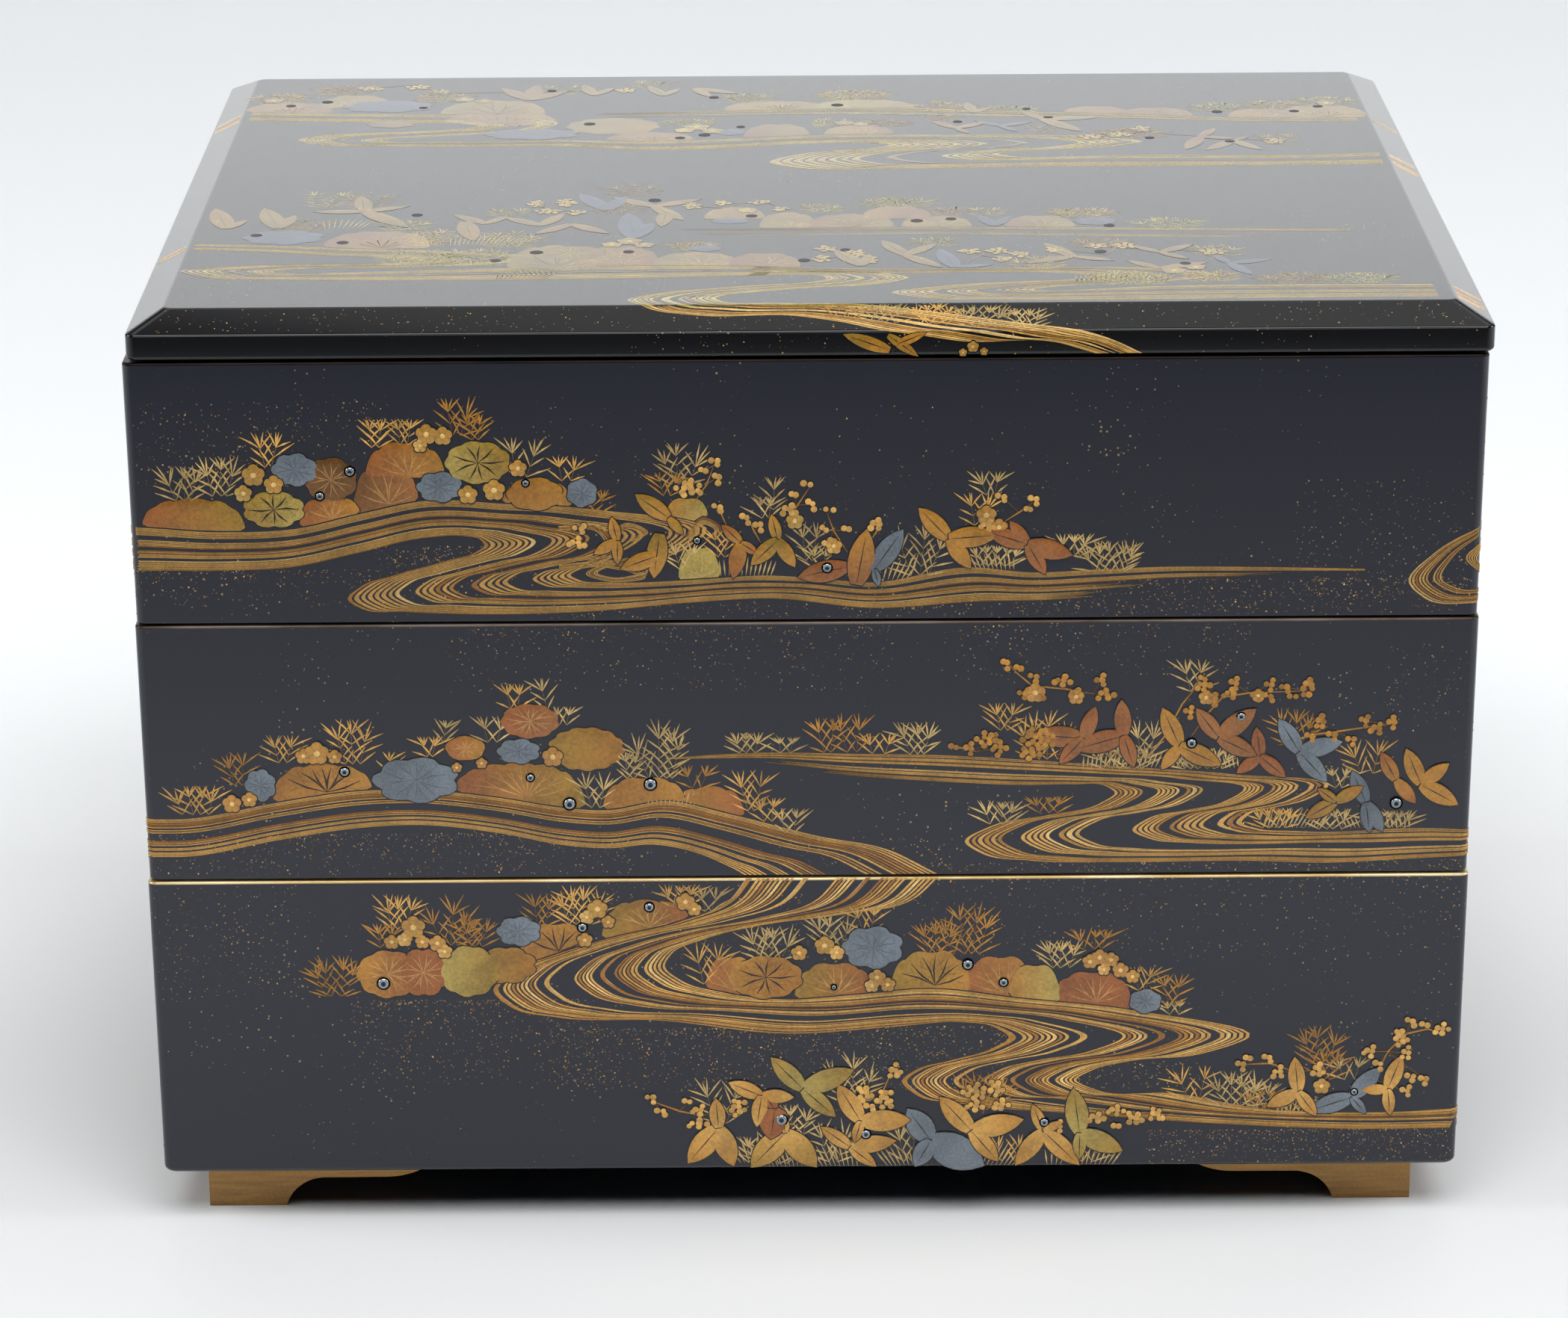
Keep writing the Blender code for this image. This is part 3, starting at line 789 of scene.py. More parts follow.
# Painted light and shade on the water's gold: darker on the upper tier and brighter on the lower, as the
# light falls; a little darker on the lid.
WATER_SHADE = {"upper_tier": 0.78, "middle_tier": 1.0, "lower_tier": 1.08, "lid": 0.9}
STREAMS = {
    "upper_tier": [
        ([(-330, 16, -330, 22), (-290, 13, -290, 22), (-250, 9, -250, 18), (-210, 8, -210, 17),
          (-175, 11, -175, 21), (-151, 12.6, -151, 22.9), (-130, 12.6, -130, 21.6),
          (-115, 13.2, -113, 22.3), (-100, 16.4, -98, 25.8), (-84, 20, -84, 28.6), (-75.5, 20.2, -66, 27.7),
          (-72.5, 19.4, -46, 26.2), (-71.8, 18, -22, 20.6), (-73.6, 16.6, -30, 15.4), (-80, 14.6, -40, 14),
          (-92, 11.2, -46, 13), (-99.5, 8.6, -50.5, 12.2), (-102.5, 5.6, -52.2, 11),
          (-99.5, 3.4, -50.4, 9.9), (-90, 2.6, -44, 9.3), (-50, 2.3, -22, 9.9), (-25, 4.4, -10, 10.6),
          (-8, 5.2, 2, 9.9), (14, 2.8, 14, 8.8), (40, 4.2, 36, 12.2), (50, 4.3, 50, 10.9),
          (65, 5, 65, 11.5), (80, 6.2, 80, 12), (100, 7, 100, 11.8), (124, 9, 124, 11.2)],
         [(0, 0.24, 5, 0, 26), (0.30, 0.48, 4, 0, 26.6), (0.55, 0.72, 3, 0, 28.3), (0.82, 1, 4, 0, 29)]),
        ([(240, 27, 240, 22), (200, 28, 200, 24), (170, 26, 170, 23.4), (149, 20.6, 149, 18.4),
          (139, 14.6, 143.4, 13.6), (133.7, 8, 141.3, 8.8), (137.6, 4, 145, 6.5), (150, 2.9, 151, 6.1),
          (175, 2.8, 175, 6.4), (215, 5, 215, 9.5), (260, 9, 260, 14), (320, 7, 320, 12)],
         [(0, 0.6, 4), (0.72, 1, 2)]),
        ([(175, 20.5, 175, 18.6), (156, 19.6, 156, 17.4), (146.3, 13.2, 149.2, 13.2), (151.5, 9.4, 152, 11),
          (170, 8.6, 170, 10.6)], [(0, 1, 3)]),
        ([(-55, 12.6, -55, 13.4), (-47, 13, -47, 14.2), (-36, 10, -35, 12.4), (-44, 9.4, -43, 10.4),
          (-49.2, 11.2, -46.4, 11.5), (-44, 14, -43, 13.2), (-33, 14.6, -33, 13.6)], [(0, 1, 3)]),
        ([(-55, 21.5, -55, 22.5), (-46, 20.6, -45, 22.3), (-44.4, 17, -41, 17), (-50, 13.6, -49, 12.6)],
         [(0, 1, 3)]),
        ([(-44, 20, -43, 19), (-40, 23.2, -40, 21.6), (-35, 20.8, -36.8, 20.8), (-39, 18.6, -39, 19.4)],
         [(0, 1, 3)]),
        ([(430, 12, 430, 12.8), (465, 12.6, 465, 18), (505, 13, 505, 22), (550, 17, 550, 26),
          (590, 19, 590, 27), (625, 18, 625, 23), (655, 16, 655, 17)],
         [(0, 0.3, 4, 0.2, 5.6), (0.4, 0.56, 2, 0.5, 5.2), (0.7, 1, 4, 0.2, 5.8)]),
        ([(-27, 20, -26, 19), (-23, 24.4, -22.6, 22.6), (-18.6, 21.4, -20.4, 21.2),
          (-22.5, 18.6, -22, 19.6)], [(0, 1, 3)]),
    ],
    "middle_tier": [
        ([(-340, 12, -340, 17), (-300, 14, -300, 24), (-250, 10, -250, 20), (-205, 4, -205, 13.5),
          (-170, 4.4, -170, 13.8), (-151, 5.7, -151, 14.9), (-140, 5.8, -140, 15), (-120, 9.6, -120, 18.7),
          (-100, 12.6, -100, 21.5), (-88, 13.1, -88, 21.6), (-70, 11, -70, 19.6), (-55, 7.9, -55, 17),
          (-45, 7.1, -45, 16.4), (-35, 7.9, -32, 18.5), (-25, 5.7, -18, 15.3), (-19, 2.9, 3, 9.6),
          (-16.6, 1.6, 18, 6.4), (-14.8, 0.4, 29.4, 0.4)],
         [(0, 0.13, 3), (0.17, 0.24, 2), (0.29, 0.43, 3), (0.62, 0.72, 2), (0.76, 1, 5)]),
        ([(-32, 28.2, -32, 28.9), (-10, 27, -10, 30), (10, 24.4, 10, 29.6), (30, 22.8, 30, 29.1),
          (50, 21.8, 50, 27.8), (60, 21.9, 72, 26), (67, 21.4, 96, 24), (69, 19.8, 117.4, 20.4),
          (66, 17.4, 113, 17.8), (54, 14.4, 106, 16), (41, 11.8, 100.5, 14.6), (35.2, 8, 98.5, 12.4),
          (39, 5.2, 102, 10.9), (50, 3.4, 110, 10.2), (70, 2.9, 119, 9.9), (100, 3, 126, 10.2),
          (118, 2.4, 134, 10.6), (135, 3.2, 142, 10.6), (151, 4, 151, 10.1), (180, 5.5, 180, 12),
          (225, 10, 225, 17), (275, 7, 275, 14), (345, 10, 345, 15)],
         [(0, 0.14, 4, 1.6, 22), (0.2, 0.31, 3, 1, 22), (0.335, 0.42, 2, 1, 22), (0.60, 0.70, 3, 0, 22),
          (0.73, 0.86, 3, 0, 22), (0.9, 1, 2, 0, 22)]),
        ([(640, 30, 640, 30.6), (600, 24, 600, 30), (560, 20, 552, 28), (530, 18, 516, 24),
          (524, 14, 508, 17), (540, 9, 522, 10), (575, 5, 555, 6), (620, 4.4, 620, 3.6), (655, 6, 655, 5.4)],
         [(0, 0.3, 4, 0.2, 7.8), (0.4, 0.6, 2, 0.5, 7), (0.7, 1, 4, 0.2, 7.6)]),
    ],
    "lower_tier": [
        ([(-14.5, 72.9, 29.7, 72.9), (-18, 68, 24.7, 68), (-30, 62.3, 8, 64), (-45, 58.6, -10, 61.6),
          (-58, 54.5, -24, 58), (-69, 49.6, -31, 54.6), (-72.5, 45.8, -32.6, 51.6), (-69, 41.8, -29, 48),
          (-58, 38.9, -20, 45), (-35, 38, -5, 43), (-5, 34.4, 10, 44), (20, 36, 28, 45.4),
          (35, 37, 48, 42.9), (42, 35.8, 75, 39.6), (45.4, 33, 101.3, 32.7), (42, 30.6, 90, 28.6),
          (32, 27.4, 74, 27), (24, 25, 65, 24.6), (21, 22.4, 61.7, 22.4), (24, 19, 66, 19.9),
          (34, 16.6, 84, 18.8), (60, 14, 104, 14.8), (95, 11, 125, 13.6), (125, 9.5, 140, 13.9),
          (151, 9.6, 151, 14.6), (185, 10, 185, 15.4), (230, 15, 230, 21), (290, 11, 290, 17),
          (345, 15, 345, 19)],
         [(0, 0.045, 1), (0.06, 0.26, 5), (0.29, 0.34, 1), (0.47, 0.58, 3), (0.61, 0.66, 1),
          (0.70, 0.84, 4), (0.87, 1, 3)]),
        ([(-350, 40, -350, 40.6), (-315, 38, -315, 46), (-270, 40, -270, 50), (-230, 41, -230, 49),
          (-195, 41, -195, 45), (-168, 41.4, -168, 42.2)],
         [(0, 0.3, 4, 0.2, 4.8), (0.42, 0.58, 2, 0.4, 4.4), (0.7, 1, 4, 0.2, 4.8)]),
        ([(430, 46, 430, 46.8), (470, 44, 470, 52), (515, 40, 528, 50), (545, 34, 562, 42),
          (548, 28, 566, 34), (530, 22, 544, 26), (500, 17, 505, 21), (450, 14, 450, 17),
          (425, 15, 425, 15.6)], [(0, 0.3, 4, 0.2, 7.8), (0.4, 0.6, 2, 0.5, 7), (0.7, 1, 4, 0.2, 7.6)]),
    ],
    "lid": [
        ([(-157, 65, -157, 74.5), (-143, 65, -143, 74), (-120, 63.5, -120, 72), (-100, 61.5, -96, 70.5),
          (-86, 60, -72, 67), (-82, 57.5, -62, 60), (-86, 55, -66, 54), (-97, 52.5, -82, 49),
          (-112, 50.5, -97, 45.8), (-122.5, 47.8, -103.4, 44.2), (-126, 44, -105, 42.8),
          (-122, 39.8, -103, 41.5), (-105, 37.4, -95, 41.5), (-85, 36.5, -80, 41), (-60, 36.3, -60, 42),
          (-40, 31.5, -40, 40), (-20, 32.5, -20, 42), (-4, 36, 0, 45), (9, 37.6, 26, 45.5),
          (16, 37, 56, 44), (19.4, 35.8, 76, 41), (20.5, 34.4, 83.5, 36.5), (18.6, 32.6, 77, 32.4),
          (10, 30, 60, 29), (-2, 25.6, 51.6, 26.8), (-9, 17.6, 47.6, 24.6), (-3, 12, 50.6, 22.4),
          (20, 10.5, 62, 21.5), (48, 11.4, 78, 22.6), (85, 11.6, 100, 22), (120, 11.6, 122, 21.6),
          (143, 12, 143, 23.5), (157, 12, 157, 24)], [(0, 0.4, 5), (0.5, 0.56, 1), (0.74, 1, 4)]),
        ([(-60, 66, -60, 70), (-30, 66.5, -30, 72), (0, 68, 0, 73.4), (25, 66.5, 25, 74), (50, 64, 50, 70),
          (80, 61.5, 80, 66), (110, 57.5, 110, 61), (143, 57, 143, 60.5), (157, 57.5, 157, 61)],
         [(0, 0.34, 2, 0.3, 8), (0.6, 1, 3, 0.2, 8)]),
        ([(-157, -61, -157, -56.5), (-143, -62, -143, -57), (-125, -64.5, -125, -58.5),
          (-110, -68, -104, -62), (-96, -71, -76, -66), (-91, -73, -58, -71.5), (-96, -75, -72, -76.5),
          (-112, -75.5, -98, -79), (-130, -76.8, -116, -80), (-142, -81, -120.5, -82),
          (-137, -86, -117, -83.5), (-118, -89, -106, -83), (-90, -90.5, -88, -81.5),
          (-60, -90.5, -60, -79.5), (-30, -89.5, -30, -79), (-10, -88, -6, -80.5)],
         [(0, 0.45, 4), (0.52, 0.6, 1), (0.7, 1, 3)]),
        ([(-14, -88.3, -12, -84.5), (-2, -88, 8, -84.7), (3, -89, 17, -86.5), (3.6, -91, 22.4, -90.6),
          (0, -93.6, 15, -95.8), (-10, -95.6, 0, -98.6), (-22, -98.6, -11, -101.6),
          (-34, -102.6, -18, -104), (-40.4, -108, -20.6, -107), (-37, -112.4, -19, -109.6),
          (-25.5, -115.6, -8, -111), (-3.6, -116, 12, -112.4), (7, -118.2, 30, -115.4),
          (15.4, -120.8, 46, -118.6), (22.8, -121.9, 58, -120.8), (33, -123.5, 62, -121.8),
          (53.5, -123.8, 67.4, -123.8), (62.3, -126.4, 72.6, -126.4)],
         [(0, 0.3, 3), (0.36, 0.5, 1), (0.56, 1, 4)]),
        ([(-14, -84, -12, -80.4), (20, -86.5, 20, -83), (45, -86.5, 50, -82.8), (60, -88.5, 80, -84.5),
          (64, -91, 92, -90), (58, -93, 80, -95), (45, -94.6, 66, -97.2), (30, -97.6, 55, -99),
          (18, -103.6, 50, -101.6), (24, -107.6, 54, -102.4), (42, -109.6, 62, -101.4),
          (70, -110.2, 76, -99.4), (105, -109.6, 105, -98.5), (143, -109.6, 143, -99),
          (157, -110, 157, -99)], [(0, 0.3, 3), (0.38, 0.6, 3), (0.72, 1, 3)]),
        ([(-38, -52, -38, -45), (0, -52.5, 0, -46), (25, -52, 25, -46), (60, -54.5, 60, -47),
          (90, -56.4, 90, -48.5), (117, -56.4, 127, -50.4)], [(0, 0.3, 2, 0.2, 4.7), (0.68, 1, 3, 0.2, 5)]),
    ],
}


def between(stations, edge, at):
    """A smooth curve through one edge of a stream's stations, at a station number that may be part way."""
    last = len(stations) - 1
    index = min(int(at), last - 1)
    share = at - index
    points = [Vector(stations[i][2 * edge:2 * edge + 2]) for i in
              (max(index - 1, 0), index, index + 1, min(index + 2, last))]
    chords = [max((b - a).length, 0.01) for a, b in zip(points, points[1:])]

    def lean(first, centre, second, near, far):
        return (far * (centre - first) / near + near * (second - centre) / far) / (near + far)

    leave = lean(*points[:3], *chords[:2]) if index > 0 else (points[2] - points[1]) / chords[1]
    reach = lean(*points[1:], *chords[1:]) if index < last - 1 else (points[2] - points[1]) / chords[1]
    leave, reach = leave * chords[1], reach * chords[1]
    square, cube = share * share, share ** 3
    return (points[1] * (2 * cube - 3 * square + 1) + leave * (cube - 2 * square + share)
            + points[2] * (3 * square - 2 * cube) + reach * (cube - square))


def stream(film, dice, stations, bundles):
    """Flowing water: bundles of lines between its two edges, which taper where they end short."""
    for low, high, bold, *ends in bundles:
        lines = bold if bold == 1 else round(LINES_TO_BOLD * bold)
        first, last = ends or (0, len(stations) - 1)
        pitch = (high - low) / lines
        for line in range(lines):
            begin = max(first + (dice.uniform(0, 0.25) if first > 0 else 0), 0)
            end = last - (dice.uniform(0, 0.5) if last < len(stations) - 1 else 0)
            count = max(int((end - begin) * LINE_STEPS), 4)
            colour = tone(dice.choice(LINE_POWDERS)) * LINE_TONE
            fill = (LID_FILL if film.place is on_lid else LINE_FILL) * dice.uniform(0.82, 1.12)
            middle = low + pitch * (line + 0.5)
            start = len(film.points)
            for step in range(count + 1):
                at = begin + (end - begin) * step / count
                near, far = between(stations, 0, at), between(stations, 1, at)
                taper = min(1, 0.15 + 0.6 * (at - begin) if first > 0 or low < 0 else 1)
                if last < len(stations) - 1 or lines == 1:
                    taper = min(taper, 0.1 + 1.2 * (end - at))
                half = pitch * fill / 2 * taper
                film.section(near + (far - near) * middle, (near - far) * half, LINE_BASE + LINE_RISE)
                film.colours += [colour] * 4
            film.close_ridge(start, count + 1)


# Banks of leaves seen from the side, which stand on the water's edge, and round leaves and full
# blossoms seen from the front, in gold or in silver. Their edges are scalloped, and fine veins of
# pale gold or broader forked ones of brown spread from the root or the heart.
LOBE = 3.4
SHORE_DEPTH = 9
SHORE_NEAR = 4
OFF_WATER = 0.3
BANK_STEPS = 14
BANK_RISE = 0.06
HEAD_RISE = 0.07
SCALLOP = 0.13
SILVER_SCALLOP = 0.22
VEIN = 0.28
BROWN_VEIN = 0.55
BROWN_FORK = 0.4

# A bank: left, right, low, high, the powders from left to right, and its veins.
MOUNDS = {
    "upper_tier": [
        (-100, -86, 26.6, 37.4, "brown", "rust", "light"), (-97, -80, 34, 42.4, "orange", "ochre", "light"),
        (-112, -99, 22.6, 30, "orange", "ochre", "light"),
        (-146.7, -124.6, 22, 29.6, "orange", "yellow", ""), (-67, -52, 25, 33.4, "gold", "ochre", "light"),
        (-28.4, -19.4, 11, 17.6, "green", "green", "light"), (-31, -22, 25, 29, "ochre", "green", ""),
    ],
    "middle_tier": [
        (-120.4, -98.6, 20, 28.2, "gold", "ochre", "dark"),
        (-79.2, -50.6, 18, 28.2, "orange", "yellow", "light"), (-46, -28, 17.6, 24.4, "gold", "ochre", ""),
        (-29.2, -14.6, 15, 22, "ochre", "orange", ""),
    ],
    "lower_tier": [
        (-66, -49.6, 54, 62.4, "gold", "ochre", "dark"),
        (-46.8, -27.6, 60, 68, "yellow", "orange", "light"),
        (-23.4, -12, 44.6, 54.2, "orange", "ochre", "light"),
        (-3, 14.4, 44, 52.2, "yellow", "orange", "light"), (19, 37, 45.4, 55, "yellow", "ochre", "dark"),
        (46, 57.4, 43.4, 51.6, "ochre", "green", ""), (35, 52.4, 44.6, 53.6, "orange", "ochre", "light"),
        (56, 73.8, 41, 49.6, "orange", "orange", "light"),
    ],
    "lid": [
        (-142, -120, 74, 85, "ochre", "orange", "light"), (-124, -106, 78, 93, "yellow", "ochre", "light"),
        (-92, -66, 70, 86, "yellow", "ochre", "dark"), (-90, -63, 58, 75, "orange", "ochre", "light"),
        (-49, -28, 38, 50, "orange", "ochre", "light"), (-15, 1, 42, 58, "orange", "yellow", ""),
        (-20, 6, 73, 83, "ochre", "yellow", "light"), (2, 28, 72, 84, "green", "ochre", ""),
        (5, 22, 45, 56, "ochre", "orange", "light"), (66, 82, 65, 75, "ochre", "orange", ""),
        (80, 98, 64, 73, "orange", "gold", "light"), (107, 124, 60, 71, "ochre", "orange", "light"),
        (120, 142, 60, 75, "yellow", "ochre", "light"), (-111, -87, -62, -46, "orange", "ochre", "light"),
        (-24, -10, -37, -26, "ochre", "gold", ""), (-11, 2, -44, -31, "yellow", "ochre", "light"),
        (0, 20, -45, -33, "orange", "yellow", "light"), (13, 29, -38, -26, "ochre", "orange", ""),
        (22, 38, -45, -35, "ochre", "yellow", "light"), (46, 62, -46, -35.5, "orange", "yellow", "light"),
        (-68, -48, -80, -60, "yellow", "ochre", "dark"), (-52, -34, -80, -61, "ochre", "orange", "light"),
        (-35, -16, -80, -67, "yellow", "ochre", "light"), (-18, -2, -82, -68, "orange", "gold", "light"),
    ],
}

# A round leaf or a blossom: centre, half sizes, lobes, powders, veins. The silver ones have no powders.
HEADS = {
    "upper_tier": [
        (-105, 33.6, 6, 5.2, 7, "brown", "brown", "light"),
        (-117.8, 26.8, 7, 4.3, 8, "yellow", "green", "dark"),
        (-72.4, 37.4, 7.4, 5, 9, "green", "yellow", "dark"), (-60, 30, 6.4, 3.9, 7, "gold", "ochre", ""),
    ],
    "middle_tier": [
        (-49.8, 31.2, 8.8, 5.3, 13, "yellow", "gold", ""),
        (-62.3, 38, 6.7, 4.2, 9, "orange", "rust", "light"),
        (-77, 31.6, 4.6, 3, 5, "orange", "ochre", "light"),
    ],
    "lower_tier": [
        (-96, 50, 7.4, 6, 9, "ochre", "orange", "light"),
        (-88, 50.4, 6.2, 6, 8, "orange", "orange", "light"),
        (-77.6, 50.6, 7, 6.4, 9, "green", "yellow", ""), (-69, 52, 7, 4.6, 8, "yellow", "gold", ""),
        (-9.8, 48.6, 8.6, 5.4, 9, "ochre", "gold", "dark"),
    ],
    "lid": [
        (-48, 56.5, 12, 9, 11, "yellow", "ochre", ""), (-54, -67, 8, 6, 9, "yellow", "gold", "light"),
        (-104, 60, 6, 3.5, 7, "brown", "ochre", ""),
    ],
}
SILVER_HEADS = {
    "upper_tier": [(-112.9, 36, 5.2, 3.9, 7), (-81, 31.8, 5.2, 3.6, 7), (-49.6, 30.2, 3.5, 3.4, 6)],
    "middle_tier": [(-123.4, 23, 3.6, 4, 7), (-65, 30.8, 5, 3.1, 8), (-88.3, 24, 10, 5.6, 13)],
    "lower_tier": [(-66, 60.4, 5.2, 3.7, 8), (14.6, 55.8, 7.2, 5.4, 12), (77, 42, 3.8, 3.1, 6)],
    "lid": [
        (-106, 79.6, 12, 6.6, 9), (-68, 48.4, 12, 5.6, 9), (-18.5, 49.5, 3.6, 3.4, 6),
        (-121, -51.6, 9.6, 6.6, 9), (-18, -39, 4.4, 2.6, 6), (-23.5, -64, 3.8, 2.6, 6),
        (67, -41.4, 5, 3.6, 7),
    ],
}


def wavy(x, z, wide, high, lobes=0, depth=0.0, turn=0.0, points=24):
    """An oval outline, its edge scalloped into lobes."""
    outline = []
    for step in range(points):
        angle = 2 * pi * step / points
        reach = 1 - depth + depth * abs(cos(lobes * (angle - turn) / 2)) ** 0.6
        outline.append((x + wide * reach * cos(angle), z + high * reach * sin(angle)))
    return outline


def shore(edges, x, middle):
    """How high the water's edge passes under a plant, or None where no water is near."""
    found = [None]
    for edge in edges:
        for (x0, z0), (x1, z1) in zip(edge, edge[1:]):
            if min(x0, x1) <= x < max(x0, x1):
                z = z0 + (z1 - z0) * (x - x0) / (x1 - x0)
                if middle - SHORE_DEPTH < z < middle:
                    found.append(z)
    return max(found[1:], default=None)


def veined(film, root, reach_to, angles, first, dark, level):
    """Veins that spread from a root towards a leaf's edge, forked when they are dark."""
    light = tone("steel") if first == "silver" else blend(tone(first), tone("pale"), 0.45)
    for step, angle in enumerate(angles):
        reach = reach_to(angle)
        tip = (root[0] + reach * cos(angle), root[1] + reach * sin(angle))
        sway = (-1) ** step * 0.05 * reach
        bend = ((root[0] + tip[0]) / 2 + sway * sin(angle), (root[1] + tip[1]) / 2 - sway * cos(angle))
        if dark:
            film.stroke([root, bend, tip], BROWN_VEIN, tone("umber"), level, 0.03, 0.2)
            for side in (-0.3, 0.3):
                fork = (root[0] + 0.9 * reach * cos(angle + side), root[1] + 0.9 * reach * sin(angle + side))
                middle = tuple(0.55 * t + 0.45 * r for t, r in zip(tip, root))
                film.stroke([middle, fork], BROWN_FORK, tone("umber"), level, 0.03, 0.2)
        else:
            film.stroke([root, bend, tip], VEIN, light, level, 0.02, 0.2)


def mound(film, edges, left, right, low, high, first, second, veins="", level=0.0):
    """A bank of leaves seen from the side: it stands on the water's edge, domed and scalloped above."""
    middle, half = (left + right) / 2, (right - left) / 2
    lobes = max(round((right - left) / LOBE), 3)

    def ground(x):
        water = shore(edges, x, (low + high) / 2)
        return low if water is None or abs(water - low) > SHORE_NEAR else water + OFF_WATER

    outline = []
    for step in range(BANK_STEPS):
        x = left + (right - left) * (step + 0.5) / BANK_STEPS
        outline.append((x, ground(x)))
    for step in range(2 * BANK_STEPS):
        angle = pi * (step + 0.5) / (2 * BANK_STEPS)
        square = abs(cos(angle)) ** 0.8 * (1 if cos(angle) > 0 else -1)
        reach = 0.89 + 0.11 * abs(cos(lobes * angle)) ** 0.7
        x = middle + half * square * (1.03 - 0.03 * sin(angle))
        outline.append((x, ground(x) + (high - ground(x)) * max(sin(angle) ** 0.85 * reach, 0.04)))
    colour = across(left, right, first, second)
    film.patch(outline, (middle, low + 0.42 * (high - low)), colour, level, BANK_RISE)
    root = (middle + 0.1 * half, ground(middle) + 0.06 * (high - low))

    def reach_to(angle):
        return 0.86 / hypot(cos(angle) / (half - 0.1 * half * cos(angle)), sin(angle) / (high - root[1]))

    count = max(round((right - left) / (2.6 if veins == "dark" else 1.7)), 5)
    angles = [radians(10 + 160 * (step + 0.5) / count) for step in range(count)]
    if veins:
        veined(film, root, reach_to, angles, first, veins == "dark", level + 0.075)


def head(film, x, z, wide, high, lobes, first, second, veins="", level=0.0):
    """A round leaf or a full blossom seen from the front, scalloped, veined from its heart."""
    depth = SILVER_SCALLOP if first == "silver" else SCALLOP
    outline = wavy(x, z, wide, high, lobes, depth, 0.4, max(4 * lobes, 20))
    film.patch(outline, (x, z), across(x - wide, x + wide, first, second), level, HEAD_RISE)

    def reach_to(angle):
        return 0.8 / hypot(cos(angle) / wide, sin(angle) / high)

    count = 2 * lobes if veins != "dark" else lobes
    angles = [0.4 + 2 * pi * (step + 0.5) / count for step in range(count)]
    if veins:
        veined(film, (x, z), reach_to, angles, first, veins == "dark", level + 0.085)


